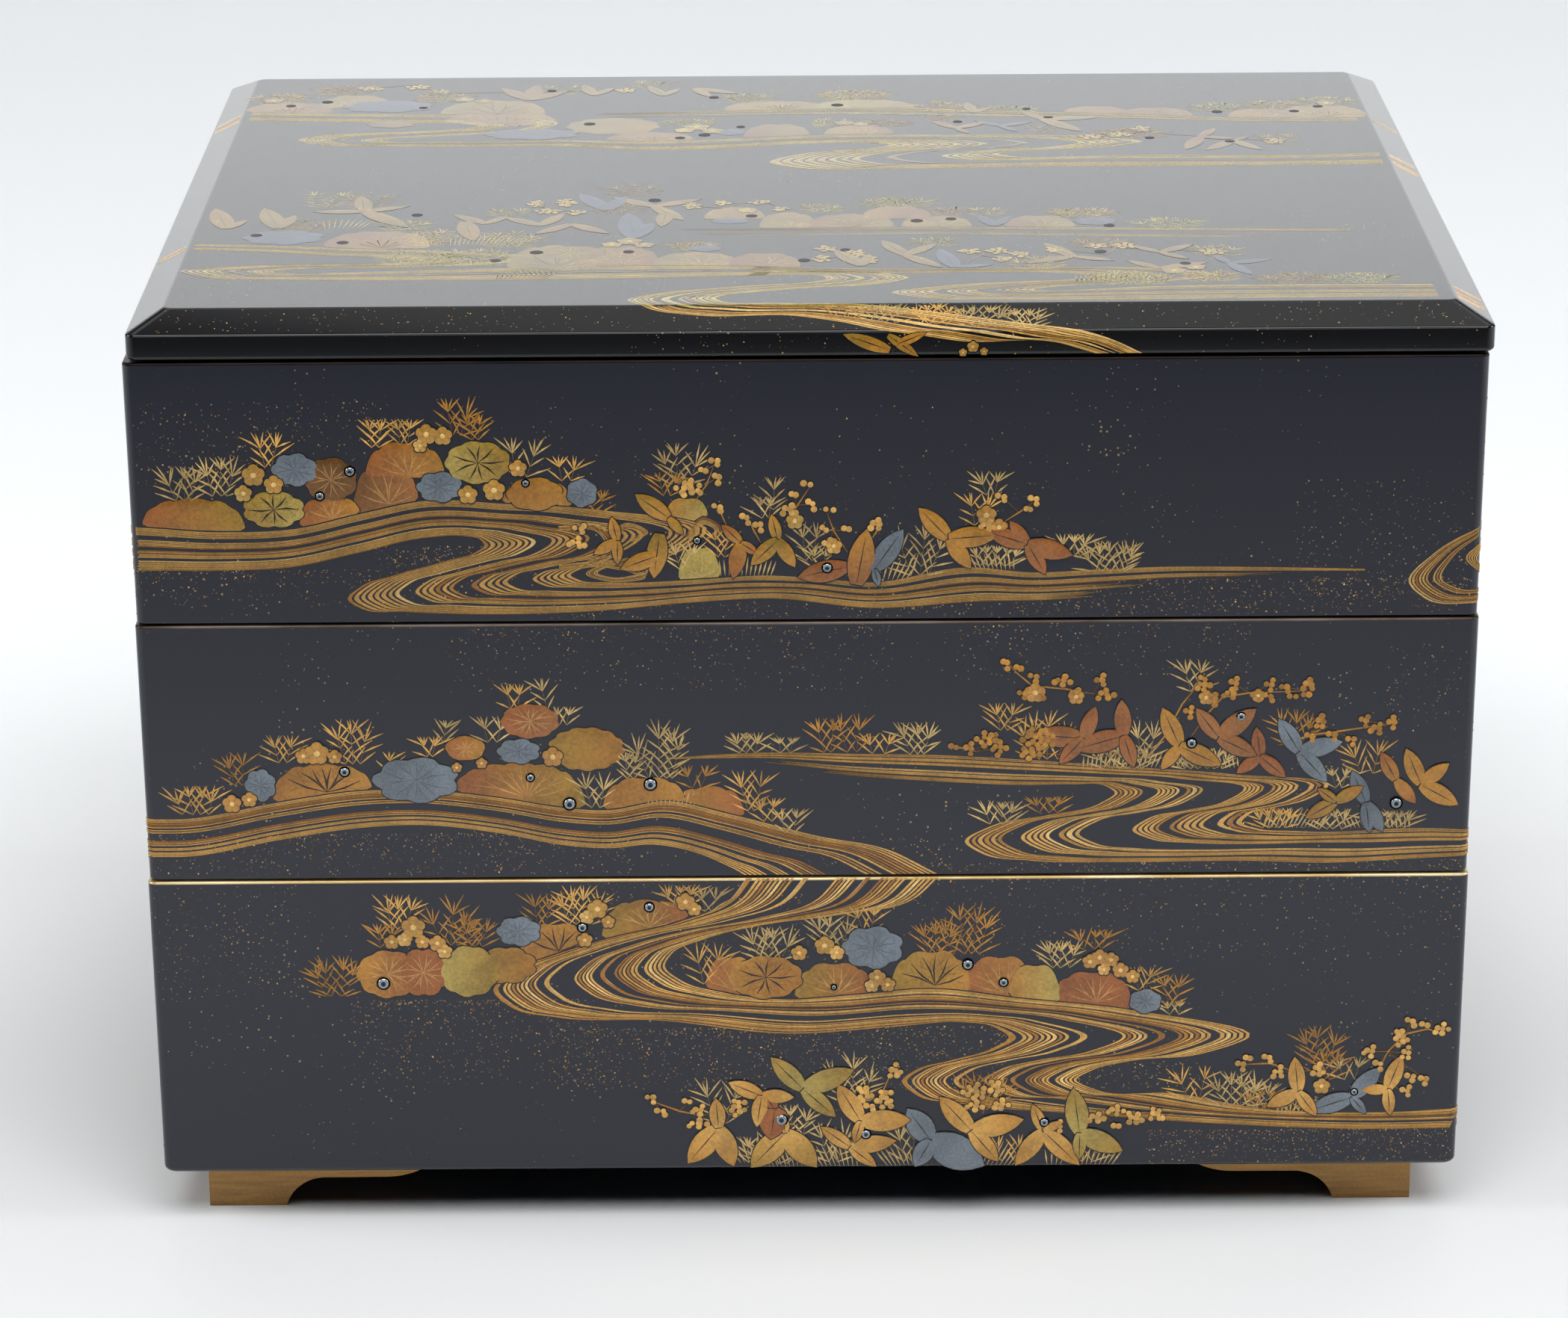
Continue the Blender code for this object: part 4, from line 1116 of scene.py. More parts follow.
# Pointed leaves, single and in threes, gold or silver, each shaded from its base to its tip over a
# dark rib. A leaf group: where it springs from, its tips, its powders, and at times the leaves' width
# as a share of their length.
LEAF_RISE = 0.07
LEAF_STEPS = 7
SLIM = 0.28
FULL = 0.44
LEAVES = {
    "upper_tier": [
        ((-30.5, 24.3), [(-37.8, 29.8), (-27.4, 20.4)], "ochre", "yellow"),
        ((-42, 19), [(-43.2, 24.6), (-47.2, 16), (-42, 13.6)], "ochre", "ochre"),
        ((-32.6, 20.6), [(-34, 10.2)], "yellow", "ochre"), ((-33, 15.6), [(-41.4, 12.4)], "ochre", "ochre"),
        ((-14.6, 18.4), [(-18.8, 22.6), (-16.4, 10), (-10.6, 15.6)], "ochre", "orange"),
        ((-6.4, 19), [(-7.8, 25), (-2.6, 12.6), (-12.4, 13.2)], "yellow", "ochre"),
        ((9, 12.6), [(-2, 10.2)], "orange", "rust"), ((11, 8.4), [(13.4, 21.4)], "rust", "ochre"),
        ((31.5, 19), [(24.8, 26.2), (36.4, 12), (42.4, 19.8)], "ochre", "ochre"),
        ((49, 17.6), [(40, 20.6), (45, 23), (53, 10.6), (59, 15)], "rust", "orange"),
    ],
    "middle_tier": [
        ((62, 33), [(50.6, 34), (64.6, 40.6), (56.6, 27)], "rust", "orange"),
        ((71, 33.6), [(60, 30.4), (70.4, 42.2), (73.4, 26)], "orange", "rust"),
        ((83.6, 31), [(79.6, 40.2), (79.6, 25.4), (93, 26.4)], "ochre", "ochre"),
        ((92.4, 33), [(87.2, 40), (100.6, 39.8), (101, 28.6)], "rust", "rust"),
        ((101.8, 28.4), [(100.8, 35.4), (96.6, 24.4), (107.6, 23.4)], "orange", "orange"),
        ((119.2, 17.4), [(112.4, 13.4), (125.2, 21), (115, 20.6)], "yellow", "gold"),
        ((132.6, 22.4), [(129, 29.2), (137.2, 16.8)], "ochre", "orange"),
        ((138.2, 21.4), [(134.6, 30), (144.4, 26.4), (146.8, 16.4)], "ochre", "ochre"),
    ],
    "lower_tier": [
        ((-21, 11), [(-28.2, 2), (-17.6, 1.2), (-21.6, 18.4)], "straw", "ochre", 0.5),
        ((-11, 19), [(-18.6, 22.4), (-3.6, 18.6), (-12.2, 11.2)], "ochre", "straw", 0.46),
        ((-1.4, 20.6), [(-8.8, 28.6), (10.2, 25.4), (6, 13.6)], "green", "yellow", 0.42),
        ((-8, 15.6), [(-10.2, 19), (-6, 11), (-9, 8)], "orange", "orange", 0.8),
        ((-5.6, 9.6), [(-13.6, 0.8), (1.6, 0.8), (-6.4, 14.4)], "straw", "yellow", 0.52),
        ((11.8, 12.4), [(6.6, 21.6), (23.4, 12.6), (10.4, 7)], "straw", "ochre", 0.46),
        ((9.4, 5.8), [(2.6, 11), (20, 7.4), (15.4, 0.9)], "straw", "ochre", 0.4),
        ((37.4, 9.8), [(30, 18.4), (49.4, 12.6), (43.6, 2)], "straw", "ochre", 0.44),
        ((54, 9.6), [(51.4, 16.4), (47.6, 0.9), (62.4, 0.9), (58.6, 12)], "straw", "ochre", 0.4),
        ((62.4, 9), [(60.8, 20.4), (72.4, 4.4), (62.4, 2.4)], "green", "yellow", 0.46),
        ((112.6, 19), [(111.6, 27.8), (105.4, 15.4), (117, 13)], "straw", "ochre", 0.44),
        ((133.2, 19.6), [(136.2, 28), (127.2, 19.4), (134, 13)], "straw", "ochre", 0.44),
    ],
    "lid": [
        ((60, 61), [(55, 70), (74, 62.6), (69, 47.6)], "ochre", "yellow"),
        ((38, 52), [(32, 60), (46, 58.6), (41, 46)], "ochre", "orange"),
        ((43, 69), [(41.4, 80), (48, 75)], "ochre", "yellow"),
        ((98, 41), [(102.4, 50), (93.6, 28), (107, 39)], "orange", "ochre"),
        ((106, 37), [(98.4, 27), (112, 27), (110, 41)], "ochre", "yellow"),
        ((-54, 91), [(-57, 103), (-49, 99)], "ochre", "yellow"),
        ((-36, 90), [(-40, 101), (-32, 98)], "yellow", "ochre"),
        ((-28, 98), [(-17, 91.6), (-24, 88)], "ochre", "ochre"),
        ((-70, 86), [(-78, 100), (-69, 103), (-61, 96)], "ochre", "orange"),
        ((-135, -43), [(-139.6, -24), (-131, -35)], "ochre", "ochre"),
        ((-123, -43), [(-128, -24), (-120, -31)], "yellow", "ochre"),
        ((-104, -28), [(-116, -28), (-94, -23), (-106, -13), (-93, -43)], "ochre", "yellow"),
        ((-75, -40), [(-83, -31), (-70, -33)], "ochre", "yellow"),
        ((-80, -38), [(-77, -56)], "ochre", "ochre"),
        ((-62, -42), [(-71, -34), (-57, -31)], "yellow", "ochre"),
        ((-55, -41), [(-63, -50), (-46, -50)], "ochre", "gold"),
        ((-36, -25), [(-46, -16), (-25, -18), (-29, -38)], "ochre", "yellow"),
        ((-33, -30), [(-34, -44)], "yellow", "ochre"),
        ((22, -71), [(17, -57.6), (29.4, -61), (30, -82)], "ochre", "yellow"),
        ((12, -80), [(6, -66), (14, -70)], "yellow", "ochre"),
        ((60, -73), [(54, -61), (69, -77), (49, -79)], "ochre", "yellow"),
        ((80, -70), [(74, -64), (88, -63), (86, -76)], "yellow", "ochre"),
        ((79, -84), [(72, -77), (90, -79)], "ochre", "ochre"),
        ((17.4, -125.4), [(7.2, -121.7)], "ochre", "yellow"),
        ((17, -122), [(23.6, -126.8)], "yellow", "ochre"),
        ((18.6, -124.2), [(25.4, -121.4)], "ochre", "ochre"),
    ],
}
SILVER_LEAVES = {
    "upper_tier": [
        ((15, 12), [(21.4, 21.2), (12.4, 14), (16, 8)], "silver", "mist"),
        ((13.6, 14), [(12.8, 18)], "silver", "steel"),
    ],
    "middle_tier": [
        ((110.6, 29.4), [(105.8, 37.4), (120.2, 31.8), (117, 22.2)], "silver", "mist"),
        ((126, 17), [(122.6, 24.8), (130, 10), (127, 9.8)], "steel", "silver"),
    ],
    "lower_tier": [
        ((28, 7.4), [(22.6, 15.4), (40.4, 0.9), (24.4, 0.8)], "silver", "mist", 0.62),
        ((125, 17.6), [(115.2, 14.2), (131.4, 25), (128.4, 13.4)], "mist", "silver"),
    ],
    "lid": [
        ((49, 54), [(43, 60), (57, 58), (53, 48)], "silver", "mist"),
        ((-47, -28), [(-54, -12), (-43, -15)], "silver", "mist"),
        ((-40, -54), [(-42, -31), (-36, -40)], "mist", "silver"),
        ((43.4, -45), [(40, -35), (47.6, -36)], "silver", "steel"),
        ((33, -82), [(30, -66), (41.4, -80)], "silver", "mist"),
        ((95, -80), [(105, -76.6), (99, -90), (92, -73)], "silver", "mist"),
    ],
}


def leaf(film, base, tip, width, first, second, level=0.0, rib=True):
    """A pointed leaf from its base to its tip, with a dark rib."""
    run = Vector(tip) - Vector(base)
    length = run.length
    run.normalize()
    out = Vector((run.y, -run.x))
    sides = []
    for step in range(LEAF_STEPS + 1):
        share = step / LEAF_STEPS
        full = sin(pi * (0.12 + 0.88 * share)) ** 0.75 if share < 1 else 0
        sides.append((share, width / 2 * max(full, 0.02)))
    outline = []
    for share, half in sides + sides[::-1]:
        side = 1 if len(outline) <= LEAF_STEPS else -1
        spot = Vector(base) + run * (length * share) + out * (half * side)
        outline.append((spot.x, spot.y))
    ends = tone(first), tone(second)

    def colour(x, z):
        return blend(*ends, (Vector((x, z)) - Vector(base)).dot(run) / length)

    film.patch(outline, tuple(Vector(base) + run * (length * 0.45)), colour, level, LEAF_RISE)
    if rib:
        path = [tuple(Vector(base) + run * (length * share)) for share in (0.04, 0.4, 0.86)]
        film.stroke(path, 0.34, tone("umber"), level + 0.085, 0.03, 0.3)


def trio(film, middle, tips, first, second, level=0.0, width=0.4):
    """Pointed leaves that spring from one point."""
    for index, tip in enumerate(tips):
        length = (Vector(tip) - Vector(middle)).length
        leaf(film, middle, tip, length * width, first, second, level + 0.04 * index, index % 2 == 0)


# Berries in clusters along thin bent stems, and small blossoms seen from above, their petals parted
# by dark lines round a pale heart.
STEM = 0.4
STALK = 0.26
HEART = 0.26
PETAL_LINE = 0.3

# A spray: the stem's bends, then each cluster's centre, width and height.
SPRAYS = {
    "upper_tier": [
        ([(-25.4, 27), (-22, 32), (-20.4, 36.4)],
         [(-20, 37.4, 3, 2), (-22.6, 35, 2, 2), (-19.6, 33.6, 2, 3), (-26, 31, 6.4, 4)]),
        ([(-17.6, 22), (-19, 25.4), (-20.4, 27)], [(-19.6, 26.6, 3.4, 2)]),
        ([(-5, 23), (-2, 27), (0.6, 31)],
         [(0.3, 31.7, 3, 1.6), (-2.7, 29.4, 1.6, 1.6), (1, 27.2, 2.4, 3.2), (-4, 26, 4, 3)]),
        ([(-10, 18), (-11.6, 21), (-13, 24)], [(-13.6, 24, 2.4, 3), (-10.6, 22.4, 2.4, 3)]),
        ([(9, 16), (6, 21), (4.6, 25)],
         [(5.4, 25.7, 3.2, 1.8), (4, 21, 1.8, 3), (9, 21.2, 2.2, 1.6), (4.6, 17.6, 3, 3)]),
        ([(14, 18.4), (15.4, 20.6), (16.6, 22.6)], [(15.6, 22.4, 4, 2.6)]),
        ([(44, 23), (47, 25), (49.4, 26.6)],
         [(43.2, 28.6, 3.2, 2), (50.4, 28, 2.8, 2.6), (49.2, 25.6, 1.6, 1.6), (40, 22, 4, 4)]),
        ([(-53, 18), (-51, 20), (-49, 22)], [(-50.4, 21.8, 4, 2), (-51, 18.6, 4, 3)]),
    ],
    "middle_tier": [
        ([(38, 30), (34, 31), (32.4, 31.4)],
         [(33, 31, 2, 2.6), (36.4, 30.6, 3, 3), (40.4, 33, 5, 4), (43, 31, 4, 4)]),
        ([(44.4, 51.6), (47, 48.6), (50.4, 45.6), (58, 44.8), (64, 43.6)],
         [(44.4, 51, 2, 3), (47.4, 49.6, 2, 2.4), (50.8, 47.8, 3, 2.6), (48.4, 43.8, 3.4, 2.4),
          (57, 46.8, 4, 3), (60, 43.4, 3, 3), (65.6, 46.8, 3, 3), (66.6, 43.4, 4.4, 3), (52, 43.6, 3, 2.4)]),
        ([(86, 33), (90, 39), (93, 42.6), (99, 43.6), (112, 44)],
         [(88.6, 45.6, 3.6, 4), (91, 42, 3, 3), (95.6, 45.8, 3, 3), (95, 43.4, 4, 2.6), (85.6, 39, 3, 3),
          (103.6, 45.4, 3, 3), (103.4, 42.6, 3, 2.4), (107, 44.8, 2.6, 2.4), (109, 42.6, 2.4, 2),
          (112.4, 45.4, 3.6, 3), (112, 43, 2, 2), (100.6, 43, 2.6, 2.6)]),
        ([(106, 31), (113, 33.4), (119, 34.2), (131, 36)],
         [(115.4, 36.6, 3, 3.4), (113, 33, 3, 2.4), (118, 33.4, 3, 2.6), (122.4, 32.2, 3, 2.6),
          (125, 36.6, 3, 3), (128, 34.8, 3.4, 3), (131.4, 36.2, 3, 3)]),
        ([(76, 28), (80, 33), (84, 41), (87, 45)], [(52, 33, 8, 5), (50, 29.6, 6, 3)]),
    ],
    "lower_tier": [
        ([(-25, 14), (-30, 15.2), (-36, 17.6)],
         [(-36.4, 18.6, 3, 2.6), (-34.2, 15.2, 3, 2.6), (-28, 17.4, 2.2, 2.4), (-25.4, 15.4, 3.6, 3),
          (-26, 12, 5, 2.6), (-16.6, 16, 4.4, 4.4)]),
        ([(16, 14), (17, 20), (19.4, 26)],
         [(19.6, 25, 3, 4.6), (12.8, 19.4, 4, 4), (17.4, 18, 4, 5.6), (14, 16, 3, 2.4)]),
        ([(40, 14), (41, 18), (44, 22)],
         [(38, 19.6, 6, 4), (43, 20.6, 4, 4), (44, 16.4, 4, 3), (38, 16, 4, 3)]),
        ([(68, 13.6), (76, 13), (84, 13.6)],
         [(66, 12.8, 4, 3), (70.6, 14.6, 4, 3), (75, 12.6, 4, 3.6), (80, 13.4, 4, 3.6), (71, 10.6, 2, 2)]),
        ([(112, 24), (106, 26.2), (99.4, 26)],
         [(99.4, 26, 2.6, 3), (101, 27.4, 2, 1.6), (105.4, 27.6, 2.6, 2.6), (108, 24, 3.4, 3.4),
          (117, 24.6, 3, 4)]),
        ([(130, 22), (133, 29), (137, 33.4), (142, 34.6), (146, 33)],
         [(129, 29, 3.4, 3.4), (131, 25.8, 2.6, 3), (136, 32.6, 3.6, 4.6), (138, 36.4, 3, 2.6),
          (141.4, 35.4, 2.4, 2.4), (145, 34.6, 3.6, 3.6), (137.4, 28.6, 3, 3.6), (138.6, 22.6, 3.6, 2),
          (141.6, 22, 2.6, 2.6), (137.4, 19, 3, 3)]), ([(53, 13), (56, 11), (58, 9)], [(57.4, 10.6, 3, 3)]),
    ],
    "lid": [
        ([(-60, -36), (-61, -27), (-59, -19)],
         [(-64, -22, 4, 6), (-57, -21, 5, 7), (-61, -29, 6, 5), (-54, -30, 4, 5)]),
        ([(-20, -27), (-16, -23), (-10, -21)],
         [(-27, -25, 4, 6), (-20, -22, 4, 4), (-11, -21.6, 5, 4), (-6, -28, 4, 4)]),
        ([(8, -80), (8, -72), (5, -64)], [(4, -65, 5, 5), (10, -69, 6, 7), (3, -74, 4, 6), (14, -75, 4, 6)]),
        ([(36, -78), (39, -72), (42, -67)],
         [(37, -68, 5, 4), (43, -68, 5, 5), (44, -75, 4, 5), (48, -71, 4, 5)]),
        ([(68, -72), (70, -66), (71, -60)],
         [(66, -64, 5, 4), (72, -64, 5, 5), (56, -67, 4, 4), (92, -70, 6, 5)]),
        ([(90, 44), (87, 48), (84, 52)], [(84, 50, 5, 5), (78, 44, 6, 5), (116, 36, 5, 6), (71, 42, 6, 5)]),
        ([(-92, 94), (-96, 98), (-100, 104)],
         [(-100, 101, 6, 5), (-94, 96, 5, 5), (-112, 100, 6, 5), (-46, 96, 5, 5)]),
    ],
}

# A blossom: centre, radius, powders.
FLOWERS = {
    "upper_tier": [
        (-122, 34.8, 2.6, "yellow", "gold"), (-117.6, 32.6, 2.2, "yellow", "gold"),
        (-124.4, 30.6, 2, "green", "yellow"), (-83.6, 44, 2.4, "gold", "yellow"),
        (-80, 43.6, 2.2, "yellow", "gold"), (-85, 41.4, 1.6, "pale", "yellow"),
        (-69, 31, 2.5, "yellow", "ochre"), (-74.8, 30, 2.2, "yellow", "gold"),
        (-63.6, 36, 2, "ochre", "gold"), (39.8, 24.4, 2.3, "gold", "ochre"),
        (42.6, 21.6, 2, "ochre", "orange"), (6, 17.4, 1.9, "yellow", "ochre"),
        (-2.6, 23.4, 2, "yellow", "green"),
    ],
    "middle_tier": [
        (-130, 18.6, 2.2, "ochre", "orange"), (-126, 19.6, 1.8, "orange", "ochre"),
        (-110.4, 30.6, 2.8, "ochre", "gold"), (-113.4, 30, 1.9, "gold", "ochre"),
        (-106.4, 29.8, 1.7, "ochre", "orange"), (-79, 27, 1.2, "orange", "rust"),
        (-73.4, 28, 1.3, "orange", "rust"), (-57.4, 29.4, 2.4, "orange", "gold"),
        (51, 44, 2.4, "ochre", "orange"), (60.2, 43, 1.9, "orange", "ochre"),
        (89.4, 42.6, 1.8, "ochre", "orange"), (101, 43, 1.6, "orange", "ochre"),
    ],
    "lower_tier": [
        (-90, 61.6, 2.8, "gold", "yellow"), (-92, 58.6, 1.8, "pale", "gold"),
        (-88, 58, 1.7, "ochre", "rust"), (-95, 58, 1.8, "gold", "ochre"), (-84.6, 57.6, 2, "gold", "ochre"),
        (-83, 55.6, 1.8, "pale", "ochre"), (-48, 65.8, 2.4, "yellow", "gold"),
        (-50.4, 63.8, 1.8, "pale", "yellow"), (-45.6, 62.6, 1.6, "gold", "ochre"),
        (-28, 67.4, 2.2, "ochre", "gold"), (-26, 65.6, 1.7, "gold", "yellow"),
        (-51, 58.2, 1.8, "gold", "ochre"), (3.6, 56.4, 2.3, "gold", "yellow"),
        (-2.2, 54.6, 1.9, "ochre", "gold"), (6.4, 54.6, 1.8, "pale", "ochre"),
        (15.6, 48.4, 2, "yellow", "gold"), (18, 46.6, 1.8, "gold", "ochre"),
        (14.4, 46.4, 1.7, "pale", "gold"), (66.4, 53, 2, "gold", "orange"),
        (69, 52.4, 1.8, "ochre", "gold"), (64.2, 52, 1.8, "gold", "ochre"),
        (71.2, 49.8, 1.9, "gold", "orange"), (74, 48.2, 1.7, "ochre", "gold"),
        (67.4, 50, 1.5, "pale", "gold"), (118, 20.4, 2, "yellow", "gold"),
    ],
    "lid": [
        (-27, 55, 3.4, "yellow", "gold"), (-23, 51, 2.8, "gold", "ochre"), (-30, 51.6, 2.6, "pale", "gold"),
        (-87, 87, 2.8, "yellow", "gold"), (-82, 85, 2.4, "gold", "ochre"),
        (-136, 87, 2.6, "gold", "yellow"), (10, 58.4, 2.6, "ochre", "gold"),
        (14, 57, 2.2, "yellow", "gold"), (133, 76.6, 2.6, "yellow", "gold"),
        (-41, -57, 3, "yellow", "gold"), (-45, -60, 2.4, "ochre", "gold"),
        (-37.6, -60.6, 2.4, "gold", "ochre"), (82, -86, 2.8, "yellow", "gold"),
        (87, -83, 2.4, "gold", "ochre"), (-14, -29, 2.4, "pale", "gold"),
        (35.6, -124.7, 1.3, "yellow", "gold"), (38, -125.8, 0.9, "gold", "ochre"),
        (33.4, -126, 0.9, "ochre", "gold"),
    ],
}


def berry(film, x, z, radius, colour, level=0.1):
    """One berry or bud, ringed by a thin dark line."""
    film.patch(wavy(x, z, radius, radius, points=9), (x, z), lambda *spot: colour, level, 0.12, 0.16)


def spray(film, dice, stem, clusters, name="ochre", level=0.08):
    """Berries in clusters along a thin bent stem, each cluster on a stalk of its own."""
    film.stroke(stem, STEM, tone("ochre"), level, 0.06)
    for x, z, wide, high in clusters:
        near = min(stem, key=lambda spot: hypot(spot[0] - x, spot[1] - z))
        film.stroke([near, (x, z)], STALK, tone("ochre"), level, 0.05)
        count = max(int(wide * high * 0.5), 2)
        for step in range(count):
            angle = 2.4 * step + dice.uniform(0, 0.6)
            reach = sqrt((step + 0.3) / count)
            colour = tone(name) * dice.uniform(0.75, 1.2)
            berry(film, x + wide / 2 * reach * cos(angle), z + high / 2 * reach * sin(angle),
                  dice.uniform(0.62, 0.8), colour, level + 0.04)


def flower(film, x, z, radius, first="yellow", second="gold", level=0.12, petals=5, turn=0.3):
    """A blossom seen from above, with its petals parted by dark lines."""
    petal_tone = across(x - radius, x + radius, first, second)
    film.patch(wavy(x, z, radius, radius, petals, 0.24, turn, 4 * petals), (x, z),
               lambda *spot: blend(petal_tone(*spot), tone("straw"), 0.45), level, 0.08)
    for petal in range(petals):
        angle = turn + 2 * pi * (petal + 0.5) / petals
        path = [(x + reach * radius * cos(angle), z + reach * radius * sin(angle)) for reach in (0.15, 0.75)]
        film.stroke(path, PETAL_LINE, tone("umber"), level + 0.09, 0.03, 0.3)
    berry(film, x, z, radius * HEART, tone("pale"), level + 0.08)


# Grass and young rushes in single strokes of pale gold. A tuft: left, right, foot and tip heights. A
# comb of rushes has the same and how far it leans.
STEM_PITCH = 3.2
JOINT_PITCH = 3.0
BLADE = 0.46
BLADE_LENGTHS = (3.2, 5.8)
FAN = (-44, -20, 0, 20, 44)
PAIR = (-46, 46)
GRASS_STEM = 0.3
RUSH_PITCH = 0.95
TUFTS = {
    "upper_tier": [
        (-142, -133, 29, 36.4), (-134, -125, 30, 38.4), (-121, -116, 36.6, 44), (-99, -91, 41, 47),
        (-92, -85, 41.6, 47), (-80.4, -74, 43.6, 51.6), (-76, -69.6, 42.6, 48), (-67, -59, 34, 42.4),
        (-56.4, -50, 33, 38.2), (-33, -23, 32, 41), (-34, -28, 29.4, 34.4), (-9.4, -5, 26, 33),
        (-2, 3, 14, 22.4), (20, 30, 10.4, 23.4), (38, 44, 29, 34), (54, 64, 14.6, 19.4), (60, 75, 11, 17.6),
        (-50, -44, 25, 30.4), (-12, -6, 24, 28.6), (35, 41, 22, 29), (-30, -24, 12, 18), (34, 50, 12.4, 17),
        (0, 5, 12, 17), (-22, -16, 15, 21),
    ],
    "middle_tier": [
        (-145, -131, 16, 22.4), (-131.4, -125, 23, 30.4), (-121, -115, 28.4, 34.4), (-107.4, -97, 28, 38),
        (-97, -93, 26, 30.4), (-88, -82, 29.6, 34), (-84, -80, 33, 38), (-74, -68, 33, 38.6),
        (-69, -63, 41, 46.4), (-60, -56, 40.6, 47.6), (-58, -52, 37, 41), (-39, -27, 24, 37.4),
        (-43, -37, 24, 30), (-28, -22, 21.6, 26.6), (-51, -45, 17, 25), (-16, -10, 16, 25),
        (-12, -6, 13.4, 18.6), (-8, 0, 10.6, 16), (-18, -9, 30, 34.4), (-9, -1, 30, 33.4), (1, 8, 30, 37.6),
        (6, 14, 30, 38.6), (12, 20, 29.6, 34), (20, 29, 29.4, 36.4), (38, 49, 12.4, 17.4), (41, 47, 35, 41),
        (46, 60, 28, 39), (49, 60, 15, 18.6), (62, 80, 25.6, 30.6), (80, 98, 25.4, 30),
        (122, 130, 24, 31.4), (117, 122, 20.6, 25), (112, 124, 10.6, 15), (124, 139, 10.8, 14.6),
        (84, 89, 44, 51), (99, 112, 11, 15.4), (105, 114, 31, 39), (73, 79, 28, 36.4),
    ],
    "lower_tier": [
        (-114.6, -101.6, 44.6, 54), (-97.4, -89, 61, 68.8), (-86, -77.6, 57, 68.6), (-80, -71.6, 56.6, 63),
        (-100, -94, 56.6, 62), (-65, -57, 61.6, 69), (-58.6, -45.4, 62, 70.8), (-34, -24, 66, 71),
        (-26, -20, 65, 70.4), (-26.6, -19, 47, 56.4), (-15, -3, 53, 60.4), (0, 10, 56, 63.4),
        (9.6, 17.4, 60, 65.4), (24, 34, 54, 61.6), (29.6, 43, 54, 66), (52, 63, 50.4, 56.6),
        (60, 70, 55, 59.4), (73, 79, 44.6, 50), (79.4, 87, 41, 48), (80, 88, 38.6, 41.6),
        (-24, -17, 12, 23.6), (-14, -2, 1.6, 9), (-9, 2, 9, 16), (2, 9, 2, 12), (5, 14, 17, 29),
        (19, 27, 2, 11), (31, 38, 1.6, 5), (42, 50, 2, 8), (34, 46, 15, 24), (60, 68, 1.6, 6),
        (85, 93, 17, 25), (91, 105, 15.4, 23.6), (101, 107, 15, 21), (112, 123, 26, 35), (121, 128, 22, 27),
        (108, 118, 13.8, 17), (-16, -12, 2, 8), (116, 122, 22, 29), (98, 112, 14.4, 19),
    ],
    "lid": [
        (-142, -128, 84, 96), (-126, -112, 92, 104), (-100, -86, 84, 96), (-66, -58, 92, 104),
        (-44, -36, 98, 108), (-20, -8, 82, 92), (2, 24, 82, 96), (28, 42, 70, 82), (46, 60, 68, 76),
        (98, 112, 68, 78), (112, 126, 70, 80), (126, 140, 74, 84), (-36, -22, 56, 64), (2, 12, 54, 64),
        (14, 26, 54, 62), (30, 38, 58, 68), (56, 64, 46, 54), (72, 90, 40, 52), (114, 122, 32, 44),
        (-118, -110, -24, -6), (-108, -101, -26, -9), (-124, -112, -46, -34), (-100, -88, -46, -36),
        (-92, -80, -60, -44), (-46, -37, -15, -1), (-50, -40, -32, -20), (-74, -66, -34, -26),
        (-76, -62, -62, -46), (-98, -80, -78, -62), (-84, -68, -78, -60), (-2, 8, -32, -24),
        (12, 30, -27, -18), (30, 36, -36, -27), (38, 46, -36, -28), (56, 72, -38, -29), (75, 92, -50, -38),
        (-32, -20, -66, -58), (24, 34, -64, -55), (60, 74, -66, -57), (46, 58, -84, -72),
        (64, 80, -98, -84), (84, 96, -96, -86), (100, 116, -98, -88), (114, 131, -98, -89),
        (1, 12, -117, -112.6), (9, 22, -118.4, -112.8), (20, 34, -119, -112.6), (31, 44, -120, -113.4),
        (40, 52, -120.4, -114.6), (88, 98, -74, -63),
    ],
}
COMBS = {
    "upper_tier": [(-20, -8, 10.6, 15, 0.1), (36, 46, 11.6, 15.4, -0.3), (16, 22, 9.4, 14, 0.4)],
    "middle_tier": [
        (62, 84, 25.8, 29.6, 0.3), (84, 97, 25.6, 29, -0.4), (103, 116, 11, 15.6, 0.5),
        (122, 136, 10.8, 14, -0.3), (-36, -22, 17.4, 21, 0.2),
    ],
    "lower_tier": [
        (-12, 0, 0.9, 7, -0.3), (-16, -13, 2, 9, -0.4), (3, 11, 0.9, 7, -0.3), (38, 47, 0.9, 7, 0.5),
        (55, 58, 0.9, 6, 0.1), (63, 70, 0.9, 6, 0.4), (18, 24, 1, 6, -0.5), (108, 120, 13.4, 17, 0.3),
    ],
    "lid": [
        (-82, -66, -60, -50, 0.2), (-70, -60, -90, -80, 0.3), (-112, -104, -44, -34, 0.1),
        (60, 78, -98, -86, 0.2),
    ],
}


